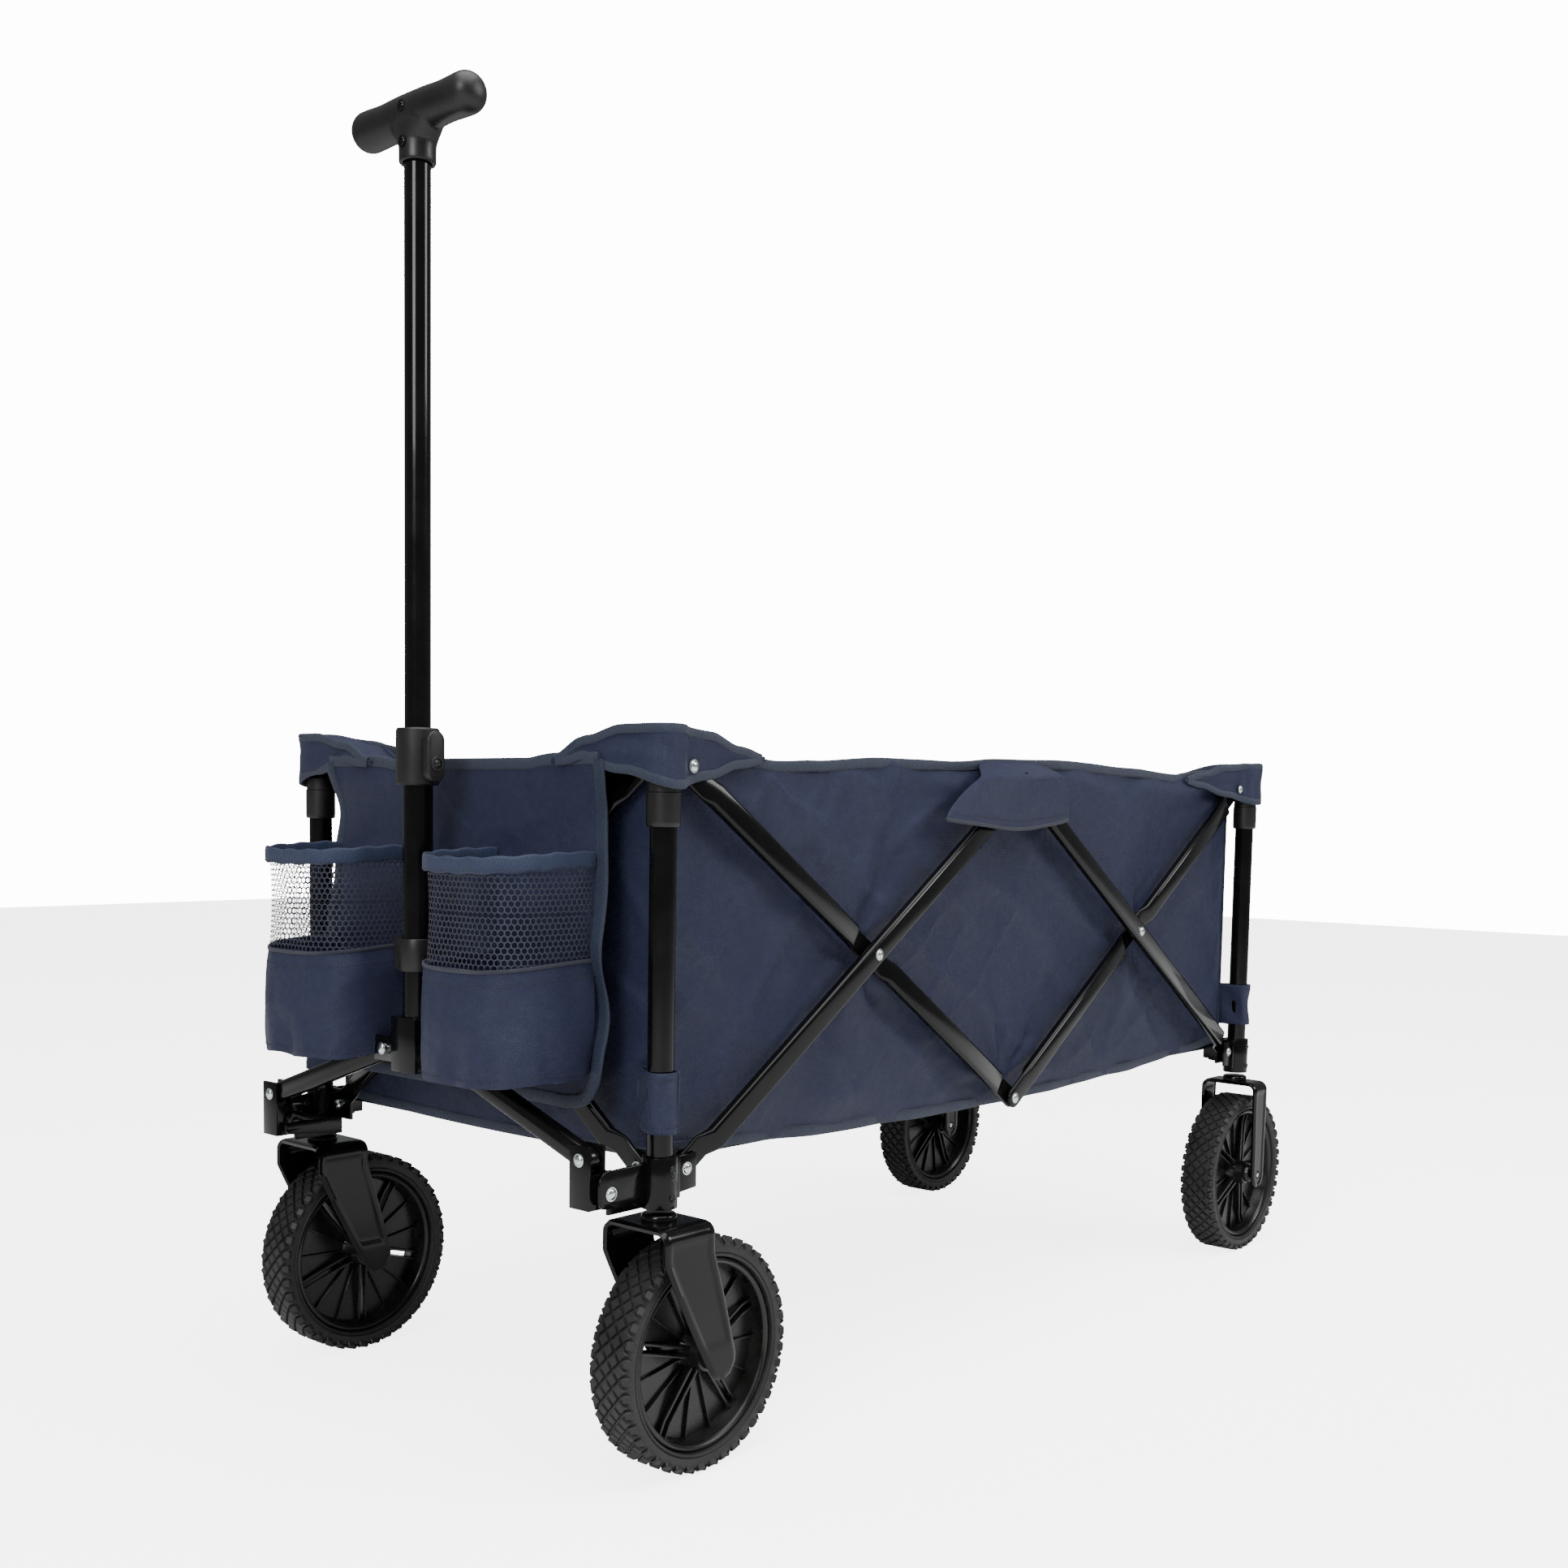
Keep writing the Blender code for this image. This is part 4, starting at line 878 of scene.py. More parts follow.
for end, sign in ENDS.items():
    out = Vector((sign, 0, 0))
    cross = JOINTS[f"fold_end_cross_{end}"]
    rivet(f"end_cross_{end}", Vector((POST_X[end] + sign * FRAME_REACH, cross.y, cross.z)), out,
          f"end_bar_{end}_right_to_left")
    for side, way in SIDES.items():
        lean, other = ("right_to_left", "left_to_right")[::-way]
        foot_reach = 0.0036 if end == "rear" else 0.0
        foot_body = f"lower_corner_{end}_{side}" if end == "rear" else f"end_bar_{end}_{lean}"
        y = way * (POST_Y - END_INSET)
        rivet(f"end_foot_{end}_{side}", Vector((POST_X[end] + sign * foot_reach, y, LOWER_Z)), out, foot_body)
        rivet(f"end_head_{end}_{side}", Vector((POST_X[end], y, UPPER_Z)), out, f"end_bar_{end}_{other}")
print(len(rivets), "rivets")

# %% [markdown]
# ## Handle
# The handle is two steel tubes with a clamp collar between them. The grip is a T of two moulded shells: a round bar
# with domed ends whose neck flares down to the tube, closed by two recessed screws. The bar and neck are made as one
# skin, so that the moulding blends at the crotch as a real one does.

# %% Handle tubes and collar
HANDLE_X = middle("handle_inner_tube").x
TUBE_RADIUS = extent("handle_outer_tube").x / 2
INNER_TUBE_RADIUS = extent("handle_inner_tube").x / 2
for name, radius in (("handle_outer_tube", TUBE_RADIUS), ("handle_inner_tube", INNER_TUBE_RADIUS)):
    low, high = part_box(name)
    tube = turned([(radius - 0.0012, low.z), (radius, low.z), (radius, high.z), (radius - 0.0012, high.z)], 56)
    piece(f"steel_{name}", [placed(tube, Matrix.Translation((HANDLE_X, 0, 0)))], PAINT, BODY_OF[name],
          [name])
low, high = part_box("handle_collar")
COLLAR_RADIUS = extent("handle_collar").x / 2
band = [(TUBE_RADIUS + 0.0003, low.z), (COLLAR_RADIUS - 0.0014, low.z), (COLLAR_RADIUS - 0.0002, low.z + 0.0012)]
band += [(COLLAR_RADIUS, low.z + 0.006), (COLLAR_RADIUS, high.z - 0.006), (COLLAR_RADIUS - 0.0002, high.z - 0.0014)]
band += [(COLLAR_RADIUS - 0.0016, high.z), (INNER_TUBE_RADIUS + 0.0004, high.z)]
band += [(INNER_TUBE_RADIUS + 0.0004, high.z - 0.008), (TUBE_RADIUS + 0.0003, high.z - 0.0085)]
lump = slab(arc((0.0, 0.0125), 0.0088, 0, 180, 10) + arc((0.0, -0.0125), 0.0088, 180, 360, 10), 0.0118, 0.0018, 3)
collar_middle = Matrix.Translation((HANDLE_X, 0, (low.z + high.z) / 2))
lump_place = collar_middle @ stand((0, -COLLAR_RADIUS + 0.0046, 0), (0, -1, 0))
ring = turned([(0.0042, 0.0117), (0.0062, 0.0117), (0.0062, 0.0126), (0.0058, 0.0130), (0.0042, 0.0130)], 32)
shapes = [placed(turned(band, 56), Matrix.Translation((HANDLE_X, 0, 0))),
          placed(lump, lump_place),
          placed(ring, lump_place, Matrix.Translation((0, -0.0062, 0)))]
piece("clamp_collar", shapes, PLASTIC, "handle_lower", ["handle_collar"])
piece("rest_clip", [refined("handle_rest_clip", 0.0012)], PLASTIC, "handle_lower", ["handle_rest_clip"])
screws = [placed(shape, lump_place, Matrix.Translation((0, -0.0062, 0.0112))) for shape in cross_screw(0.0036)]
piece("collar_screw", screws, BLACK_STEEL, "handle_lower")
print("collar at", low.z, high.z)

# %% Grip
grip_low, grip_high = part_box("handle_grip")
GRIP_RADIUS = (grip_high.x - grip_low.x) / 2
GRIP_Z = grip_high.z - GRIP_RADIUS
GRIP_HALF = (grip_high.y - grip_low.y) / 2
NECK_RADIUS, DOME = 0.0150, 0.0150
STRAIGHT_SHARE = 0.80  # the share of the skin's rows that lie on the straight part
GRIP_SCREW = 0.0046


def grip_skin():
    """A round bar along Y with domed ends and a slight waist."""
    shape = bmesh.new()
    bmesh.ops.create_uvsphere(shape, u_segments=64, v_segments=96, radius=1.0, matrix=Matrix.Rotation(
        math.pi / 2, 4, "X"))
    straight = GRIP_HALF - DOME
    for vert in shape.verts:
        axis_share = max(-1, min(1, vert.co.y))
        angle = math.asin(axis_share)
        share = angle / (math.pi / 2)
        away = Vector((vert.co.x, 0, vert.co.z))
        away = away.normalized() if away.length > 1e-6 else Vector((0, 0, 0))
        if abs(share) <= STRAIGHT_SHARE:
            y, radius = share / STRAIGHT_SHARE * straight, GRIP_RADIUS
        else:
            end_angle = (abs(share) - STRAIGHT_SHARE) / (1 - STRAIGHT_SHARE) * math.pi / 2
            y = math.copysign(straight + DOME * math.sin(end_angle), share)
            radius = GRIP_RADIUS * math.cos(end_angle) ** 0.85
        waist = 1 - 0.05 * math.exp(-((abs(y) / straight - 0.62) / 0.25) ** 2)
        vert.co = away * radius * waist + Vector((0, y, 0))
    return shape


def neck_shape():
    """The turned socket over the tube: it flares out into the bar above and has a lip round its mouth."""
    foot, bore = grip_low.z, INNER_TUBE_RADIUS + 0.0003
    outline = [(bore, foot), (NECK_RADIUS - 0.0008, foot), (NECK_RADIUS, foot + 0.0008), (NECK_RADIUS, foot + 0.010)]
    outline += [(NECK_RADIUS + 0.0002, foot + 0.016), (NECK_RADIUS + 0.0016, GRIP_Z - 0.012)]
    outline += [(NECK_RADIUS + 0.0006, GRIP_Z - 0.002), (bore, GRIP_Z - 0.004)]
    shape = turned(outline, 64)
    for vert in shape.verts:
        flare = smoothstep(foot + 0.010, GRIP_Z - 0.006, vert.co.z)
        if math.hypot(vert.co.x, vert.co.y) > NECK_RADIUS * 0.9:
            vert.co.y *= 1 + 0.85 * flare * flare
    return shape


shapes = [placed(grip_skin(), Matrix.Translation((HANDLE_X, 0, GRIP_Z))),
          placed(neck_shape(), Matrix.Translation((HANDLE_X, 0, 0)))]
grip = piece("moulded_grip", shapes, PLASTIC, "handle_upper", ["handle_grip"], 60)
blend_skin = grip.modifiers.new("one_skin", "REMESH")
blend_skin.mode, blend_skin.voxel_size, blend_skin.use_smooth_shade = "VOXEL", 0.0011, True
soften = grip.modifiers.new("soften", "SMOOTH")
soften.factor, soften.iterations = 0.5, 9
details = []
# The screws' recesses are not cut: a thin ring round each screw and the screw heads get the darkest gloss paint, a
# painted shade standing for the recess.
for height, reach in ((GRIP_Z + 0.001, GRIP_RADIUS), (GRIP_Z - 0.026, NECK_RADIUS + 0.0006)):
    face = stand((HANDLE_X - reach + 0.0006, 0, height), (-1, 0, 0))
    cup = turned([(GRIP_SCREW - 0.0010, -0.001), (GRIP_SCREW, 0.0), (GRIP_SCREW, 0.0008),
                  (GRIP_SCREW - 0.0008, 0.0008)], 28)
    details += [placed(cup, face)] + [placed(shape, face) for shape in cross_screw(GRIP_SCREW - 0.0014)]
piece("grip_screws_and_painted_recess_shade", details, PAINT, "handle_upper")
print("grip dressed")

# %% [markdown]
# ## Sewing
# A panel of cloth is a grid that a rule lays into place: the rule turns a share across and a share down into a point.
# The grid keeps its flat size in metres as its own coordinates, so the weave isn't stretched. Tape and elastic are
# grids rolled round a path.


# %% Cloth helpers
CLOTH_THICKNESS = 0.0011
TAPE_THICK = 0.0017  # half of a folded tape's thickness
STITCH_STEP = 0.0034
STITCH_HALF = (0.0013, 0.00045, 0.00035)
RUN_STEP = 0.004  # the share of a path over which its way is taken


def mark_cloth(shape, flat):
    """Writes the cloth's own coordinates, in metres. flat(point) gives them for a corner of a face."""
    marks = shape.loops.layers.uv.new("cloth")
    for face in shape.faces:
        for loop in face.loops:
            loop[marks].uv = flat(loop.vert.co)


def flat_grid(size, cells):
    """A grid from -0.5 to 0.5 each way, that knows its flat size in metres."""
    shape = bmesh.new()
    bmesh.ops.create_grid(shape, x_segments=cells[0], y_segments=cells[1], size=0.5)
    mark_cloth(shape, lambda point: ((point.x + 0.5) * size[0], (point.y + 0.5) * size[1]))
    return shape


def cloth(size, cells, place):
    """A grid laid into place. place(across, down) gives each point."""
    shape = flat_grid(size, cells)
    for vert in shape.verts:
        vert.co = place(vert.co.x + 0.5, 0.5 - vert.co.y)
    return shape


def smooth_path(points, steps=16):
    """A function from 0 to 1 that runs evenly along a smooth curve through the points."""
    points = [Vector(point) for point in points]
    points = [2 * points[0] - points[1]] + points + [2 * points[-1] - points[-2]]
    dense = []
    for a, b, c, d in zip(points, points[1:], points[2:], points[3:]):
        for step in range(steps):
            t = step / steps
            dense.append(0.5 * (2 * b + (c - a) * t + (2 * a - 5 * b + 4 * c - d) * t * t
                                + (3 * b - a - 3 * c + d) * t ** 3))
    dense.append(points[-2])
    lengths = [0]
    for a, b in zip(dense, dense[1:]):
        lengths.append(lengths[-1] + (b - a).length)

    def along(share):
        target = max(0, min(1, share)) * lengths[-1]
        step = max(1, next((k for k, length in enumerate(lengths) if length >= target), len(lengths) - 1))
        part = (target - lengths[step - 1]) / max(1e-9, lengths[step] - lengths[step - 1])
        return dense[step - 1].lerp(dense[step], part)

    along.length = lengths[-1]
    return along


def run_at(along, share):
    """The way that a path runs at a share of its length."""
    return (along(min(1, share + RUN_STEP)) - along(max(0, share - RUN_STEP))).normalized()


def tape(along, out, half_width, half_thickness, steps):
    """Tape rolled round a path. out(share) is the way that its face looks."""
    shape = flat_grid((along.length, 4 * half_width), (steps, 12))
    for vert in shape.verts:
        share, angle = vert.co.x + 0.5, 2 * math.pi * (vert.co.y + 0.5)
        run = run_at(along, share)
        face = Vector(out(share)).normalized()
        across = run.cross(face).normalized()
        flat = math.copysign(abs(math.cos(angle)) ** 0.5, math.cos(angle))
        thick = math.copysign(abs(math.sin(angle)) ** 0.7, math.sin(angle))
        vert.co = along(share) + across * half_width * flat + face * half_thickness * thick
    bmesh.ops.remove_doubles(shape, verts=shape.verts, dist=1e-6)
    bmesh.ops.holes_fill(shape, edges=[e for e in shape.edges if e.is_boundary], sides=0)
    bmesh.ops.recalc_face_normals(shape, faces=shape.faces)
    return shape


def mark_round(shape):
    """Cloth coordinates for cords and stitches that stand round the wagon: along it, and up."""
    mark_cloth(shape, lambda point: (point.x + point.y, point.z))


def stitches(along, out):
    """A row of small sunk stitches along a path."""
    row = bmesh.new()
    count = int(along.length / STITCH_STEP)
    for number in range(count):
        share = (number + 0.5) / count
        run = run_at(along, share)
        face = Vector(out(share)).normalized()
        turn = Matrix((run, run.cross(face), face)).transposed().to_4x4()
        shaped = Matrix.Translation(along(share)) @ turn @ Matrix.Diagonal((*STITCH_HALF, 1))
        bmesh.ops.create_icosphere(row, subdivisions=1, radius=1, matrix=shaped)
    mark_round(row)
    return row


def ripple(s, t, seed, depth, anchors=()):
    """How far cloth stands out of its plane, from broad swells, crisp folds and pulls that spread from its anchors."""
    swell = noise.noise(Vector((s * 4.2, t * 5.0, seed)))
    crease = (1 - abs(noise.noise(Vector((s * 7.0 + t * 10.0, t * 2.4 - s * 1.7, seed + 3.1))))) ** 5
    second = (1 - abs(noise.noise(Vector((s * 12 - t * 13, t * 3.4 + s * 3, seed + 7.7))))) ** 7
    rise = 0.38 * swell + 0.60 * (crease - 0.42) + 0.42 * (second - 0.28)
    for place_s, place_t, reach, count in anchors:
        away = math.hypot(s - place_s, t - place_t)
        angle = math.atan2(t - place_t, s - place_s)
        wave = math.cos(angle * count + seed) + 0.6 * math.cos(angle * count * 1.7 + seed * 2)
        rise += 0.5 * wave * math.exp(-away / reach) * smoothstep(0.0, 0.05, away)
    return depth * max(-1.2, min(1.2, rise))


def sewn(name, shapes, finish, body, way, replaces=(), thickness=CLOTH_THICKNESS):
    """A soft piece: cloth gets its thickness, and a piece on a side or an end of the wagon gets a mesh of its own."""
    made = piece(name, shapes, finish, body, replaces, 60)
    if thickness:
        wall = made.modifiers.new("thickness", "SOLIDIFY")
        wall.thickness, wall.offset, wall.use_quality_normals = thickness, 0.0, True
    if way == "side":
        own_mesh(made)
    elif way == "end":
        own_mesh(made)
    return made


def table(points):
    """A smooth function through (place, value) points."""
    def look_up(place):
        if place <= points[0][0]:
            return points[0][1]
        for (a, low), (b, high) in zip(points, points[1:]):
            if place <= b:
                return low + (high - low) * smoothstep(a, b, place)
        return points[-1][1]
    return look_up


print("cloth helpers ready")

# %% [markdown]
# ## Tub walls
# The tub's four walls hang from the top bars and carry a bound rim and a bound hem. The rim stands highest at the
# corners, where it goes over the posts' heads, and dips beside them. The hem sags between the posts.

# %% Tub walls
SIDE_RIM = table([(-0.456, 0.586), (-0.427, 0.583), (-0.378, 0.573), (-0.347, 0.567), (-0.304, 0.569), (-0.190, 0.575),
                  (-0.09, 0.575), (0.0, 0.580), (0.12, 0.582), (0.26, 0.578), (0.36, 0.574), (0.43, 0.580),
                  (0.47, 0.585)])
END_RIM = table([(0.095, 0.561), (0.115, 0.566), (0.150, 0.580), (0.190, 0.589), (0.22, 0.590)])
HEM = table([(0.0, 0.2395), (0.10, 0.2405), (0.24, 0.2440), (0.40, 0.2515), (0.49, 0.2560)])
CLOTH_IN = 0.0018  # how far inside the working wall's face the cloth lies


def side_point(side, x, z, out=0.0):
    return Vector((x, SIDES[side] * (WALL_Y - CLOTH_IN + out), z))


def end_point(end, y, z, out=0.0):
    return Vector((WALL_X[end] + ENDS[end] * (out - CLOTH_IN), y, z))


def end_hem(y):
    """How far an end wall's hem sags below its corners."""
    return -0.004 * math.cos(y / WALL_Y * math.pi / 2)


SIDE_ANCHORS = [(POST_X["front"] + 0.03, 0.57, 0.11, 7), (POST_X["rear"] - 0.03, 0.57, 0.11, 7),
                (CENTRE_X, 0.26, 0.09, 8), (CENTRE_X - 0.25, 0.40, 0.10, 6), (CENTRE_X + 0.25, 0.40, 0.10, 6)]


def relief(rise):
    """Keeps a wall's folds between the mat inside and the bars outside."""
    return 0.0034 + 0.0040 * math.tanh(rise / 0.0050)


def side_wall(side):
    seed = 2.7 if side == "right" else 9.3
    first, last = WALL_X["front"], WALL_X["rear"]

    def lay(across, down):
        x = first + (last - first) * across
        top, foot = SIDE_RIM(x) - 0.001, HEM(abs(x - CENTRE_X))
        z = top + (foot - top) * down
        hold = smoothstep(0, 0.07, down) * smoothstep(0, 0.10, 1 - down) * smoothstep(0, 0.03, min(across, 1 - across))
        return side_point(side, x, z, hold * relief(ripple(x, z, seed, 0.0140, SIDE_ANCHORS)))

    return cloth((last - first, 0.335), (230, 80), lay)


def end_wall(end):
    seed = 5.1 if end == "front" else 14.2

    def lay(across, down):
        y = -WALL_Y + 2 * WALL_Y * across
        top, foot = END_RIM(abs(y)) - 0.001, 0.252 + end_hem(y)
        z = top + (foot - top) * down
        hold = smoothstep(0, 0.08, down) * smoothstep(0, 0.1, 1 - down) * smoothstep(0, 0.06, min(across, 1 - across))
        return end_point(end, y, z, hold * relief(ripple(y, z, seed, 0.0090)))

    return cloth((2 * WALL_Y, 0.322), (96, 76), lay)


WALL_BODY = {"right": "upper_corner_front_right", "left": "upper_corner_front_left",
             "front": "upper_corner_front_right", "rear": "upper_corner_rear_right"}
walls = {}
for side in SIDES:
    walls[side] = sewn(f"wall_cloth_{side}", [side_wall(side)], NAVY, WALL_BODY[side], "side",
                       replaces=[f"tub_wall_{side}"])
for end in ENDS:
    walls[end] = sewn(f"wall_cloth_{end}", [end_wall(end)], NAVY, WALL_BODY[end], "end",
                      replaces=[f"tub_wall_{end}"])
print("walls", {name: len(wall.data.polygons) for name, wall in walls.items()})

# %% [markdown]
# ## Bindings
# A ribbed tape is folded over every raw edge and stitched down. Here it runs along the rim and the hem of each wall.

# %% Rim and hem bindings
TAPE_HALF = 0.0050
EDGE_ROW = 0.0036  # from a tape's middle to the stitches at its edge
with_wall = {name: [] for name in walls}
for side, way in SIDES.items():
    face = (0, way, 0)
    xs = [WALL_X["front"] + 0.002 + (WALL_X["rear"] - WALL_X["front"] - 0.004) * k / 40 for k in range(41)]
    wave = [0.0010 * math.sin(k * 1.9) + 0.0008 * math.sin(k * 0.83 + 1) for k in range(41)]
    rim = smooth_path([side_point(side, x, SIDE_RIM(x) - 0.003, 0.0005 + w) for x, w in zip(xs, wave)], 8)
    hem = smooth_path([side_point(side, x, HEM(abs(x - CENTRE_X)) + 0.003, w) for x, w in zip(xs, wave)], 8)
    for label, path in (("rim", rim), ("hem", hem)):
        with_wall[side].append(sewn(f"{label}_binding_{side}", [tape(path, lambda share: face, TAPE_HALF, TAPE_THICK,
                                                                     260)],
                                    BINDING, WALL_BODY[side], "side", thickness=0))
    rows = [smooth_path([path(k / 60) + Vector((0, way * TAPE_THICK, sign * EDGE_ROW)) for k in range(61)], 6)
            for path, sign in ((rim, -1), (hem, 1))]
    with_wall[side].append(sewn(f"edge_stitches_{side}", [stitches(row, lambda share: face) for row in rows], STITCH,
                                WALL_BODY[side], "side", thickness=0))
for end, way in ENDS.items():
    face = (way, 0, 0)
    ys = [-WALL_Y + 0.002 + (2 * WALL_Y - 0.004) * k / 24 for k in range(25)]
    paths = [("hem", smooth_path([end_point(end, y, 0.255 + end_hem(y)) for y in ys], 8))]
    if end == "rear":
        paths.append(("rim", smooth_path([end_point(end, y, END_RIM(abs(y)) - 0.003, 0.0004) for y in ys], 8)))
    for label, path in paths:
        with_wall[end].append(sewn(f"{label}_binding_{end}", [tape(path, lambda share: face, TAPE_HALF, TAPE_THICK,
                                                                   130)],
                                   BINDING, WALL_BODY[end], "end", thickness=0))
print("bindings sewn")

# %% [markdown]
# ## Corner caps
# At each corner the rim is carried out round the post's head, so that the head sits in a small hood of doubled cloth.
# The hood's outside is a strip that is deepest at the post and runs out to a point on either wall. A little roof closes
# it on top. Tape binds the upper and the lower edge, and the top bar's rivet goes through it.

# %% Corner caps
ROOF_SETBACK = 0.0140
CAP_SIDE = [(-0.132, -0.0128), (-0.085, -0.0075), (-0.048, 0.0008), (-0.022, 0.0050), (-0.010, 0.0128),
            (0.0035, 0.0158)]
CAP_END = {"front": [(0.0140, 0.0120), (0.0188, 0.0020), (0.0200, -0.012), (0.0206, -0.035), (0.0206, -0.060),
                     (0.0204, -0.085), (0.0196, -0.106)],
           "rear": [(0.0130, 0.0130), (0.0158, 0.0035), (0.0128, -0.010), (0.0060, -0.022), (0.0025, -0.038),
                    (-0.0060, -0.068), (-0.0125, -0.104)]}
CAP_DEPTH = table([(0.0, 0.004), (0.12, 0.014), (0.30, 0.034), (0.5, 0.046), (0.70, 0.034), (0.88, 0.014),
                   (1.0, 0.004)])
CAP_TOP = table([(0.0, 0.5715), (0.12, 0.5770), (0.30, 0.5870), (0.5, 0.5905), (0.70, 0.5900), (0.85, 0.5820),
                 (1.0, 0.5665)])


def cap_point(share, down):
    """A point of the hood's outside in the corner's own axes."""
    flat = cap_along(share)
    return Vector((flat.x, flat.y, CAP_TOP(share) - CAP_DEPTH(share) * down))


for end, side in CORNERS:
    cap_along = smooth_path([(x, y, 0) for x, y in CAP_SIDE + CAP_END[end]])
    name, corner = f"{end}_{side}", corner_place(end, side)
    body, seed = f"upper_corner_{end}_{side}", ENDS[end] * 3 + SIDES[side] * 1.3

    def hood(across, down):
        point = cap_point(across, down)
        held = smoothstep(0, 0.2, 1 - abs(2 * across - 1))
        bulge = 0.0016 * noise.noise(Vector((across * 7, down * 2.5, seed))) * held
        return corner @ (point + Vector((bulge, bulge, 0)))

    def roof(across, down):
        edge = cap_point(across, 0.0)
        inner = Vector((min(edge.x, -ROOF_SETBACK), min(edge.y, -ROOF_SETBACK), edge.z - 0.001))
        if across < 0.5:
            inner.y = -ROOF_SETBACK
        else:
            inner.x = -ROOF_SETBACK
        point = edge.lerp(inner, down)
        point.z += 0.0022 * math.sin(math.pi * down) * math.sin(math.pi * across)
        return corner @ point

    shapes = [cloth((cap_along.length, 0.046), (72, 14), hood), cloth((cap_along.length, 0.026), (72, 6), roof)]
    hood_piece = sewn(f"corner_hood_{name}", shapes, NAVY, body, "none")
    edges = []
    for down, shift in ((0.0, -0.0016), (1.0, 0.0018)):
        path = smooth_path([corner @ (cap_point(0.02 + 0.96 * k / 30, down) + Vector((0, 0, shift)))
                            for k in range(31)], 6)

        def away(share):
            ahead = corner @ cap_along(0.02 + 0.96 * min(1, share + 0.01))
            flat = ahead - corner @ cap_along(0.02 + 0.96 * max(0, share - 0.01))
            normal = Vector((flat.y, -flat.x, 0))
            return normal if normal.dot(Vector((ENDS[end], SIDES[side], 0))) > 0 else -normal

        edges.append(tape(path, away, 0.0038, 0.0014, 110))
    cap_edge = sewn(f"hood_binding_{name}", edges, BINDING, body, "none", thickness=0)
print("corner hoods", cap_along.length)

# %% [markdown]
# ## Middle flaps
# Halfway along each side the four bars meet at the rim. A tent of the same cloth is sewn to the rim there, so that
# fingers stay out of the joint. It stands off over the joint and its hem hangs free in front of the bars.

# %% Middle flaps
FLAP_TOP_HALF, FLAP_HEM_HALF, FLAP_HEM_Z = 0.046, 0.108, 0.514
FLAP_CENTRE = CENTRE_X - 0.029


def flap_point(side, across, down, lift=0.0):
    """A point of the tent: wide at its hem, crowned over the joint, and drawn in at its corners."""
    middle_share = 2 * across - 1
    half = FLAP_TOP_HALF + (FLAP_HEM_HALF - FLAP_TOP_HALF) * math.sin(down * math.pi / 2) ** 0.75
    x = FLAP_CENTRE * down + CENTRE_X * (1 - down) + half * middle_share
    top = SIDE_RIM(x) - 0.001
    foot = FLAP_HEM_Z + 0.007 * middle_share ** 4 + 0.002 * math.sin(across * 9)
    z = top + (foot - top) * down
    crown = smoothstep(-0.05, 0.26, down) * (1 - 0.20 * middle_share ** 4)
    out = 0.0305 * crown + 0.0014 * noise.noise(Vector((across * 6, down * 3, SIDES[side]))) * crown + lift
    return side_point(side, x, z, out)


for side, way in SIDES.items():
    flap = sewn(f"middle_flap_{side}", [cloth((0.19, 0.078), (70, 30), lambda u, v: flap_point(side, u, v))], NAVY,
                WALL_BODY[side], "side")
    path = smooth_path([flap_point(side, k / 24, 0.98) for k in range(25)], 6)
    row = smooth_path([flap_point(side, 0.02 + 0.96 * k / 24, 0.86, 0.0008) for k in range(25)], 6)
    hem = sewn(f"flap_hem_{side}", [tape(path, lambda share: (0, way, 0), 0.0020, 0.0011, 90),
                                    stitches(row, lambda share: (0, way, 0))], STITCH, WALL_BODY[side], "side",
               thickness=0)
    with_wall[side].append(hem)
print("flaps sewn")

# %% [markdown]
# ## Front apron
# The front wall has a second panel that comes over the rim and hangs outside the crossed bars, so that the pockets
# have something flat behind them. It is bound all round with ribbed tape, and its lower corners are rounded.

# %% Front apron
APRON_LOW, APRON_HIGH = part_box("front_apron")
APRON_X, APRON_HALF, APRON_HEM = APRON_LOW.x, APRON_HIGH.y, APRON_LOW.z
APRON_CORNER = 0.040
TURN_SHARE = 0.05


def apron_half(z):
    """Half the apron's width at a height: a little wavy, and rounded at the foot."""
    wave = 0.0022 * math.sin(z * 46) + 0.0012 * math.sin(z * 91 + 1)
    foot = max(0, APRON_HEM + APRON_CORNER - z)
    return APRON_HALF + wave - 0.004 - (APRON_CORNER - math.sqrt(max(0, APRON_CORNER ** 2 - foot ** 2)))


def apron_point(across, down):
    """A point of the apron. The first share of the way down is the turn over the rim."""
    side_share = 2 * across - 1
    rim = min(0.5655, END_RIM(abs(side_share) * APRON_HALF) + 0.001)
    turn = min(1, down / TURN_SHARE)
    z = rim + 0.003 * math.sin(turn * math.pi / 2) - 0.003 * turn
    if down > TURN_SHARE:
        z = rim - (rim - APRON_HEM - 0.001) * (down - TURN_SHARE) / (1 - TURN_SHARE)
    x = WALL_X["front"] + (APRON_X - WALL_X["front"]) * math.sin(turn * math.pi / 2)
    edge = abs(side_share) ** 6
    fold = 0.0045 * edge * (math.sin(z * 46 + 0.6) + 0.5 * math.sin(z * 80)) * turn
    fold += turn * ripple(across * 0.4, z, 21.0, 0.0016)
    return Vector((x + 0.0012 - fold, apron_half(max(z, APRON_HEM + 0.0015)) * side_share, z))


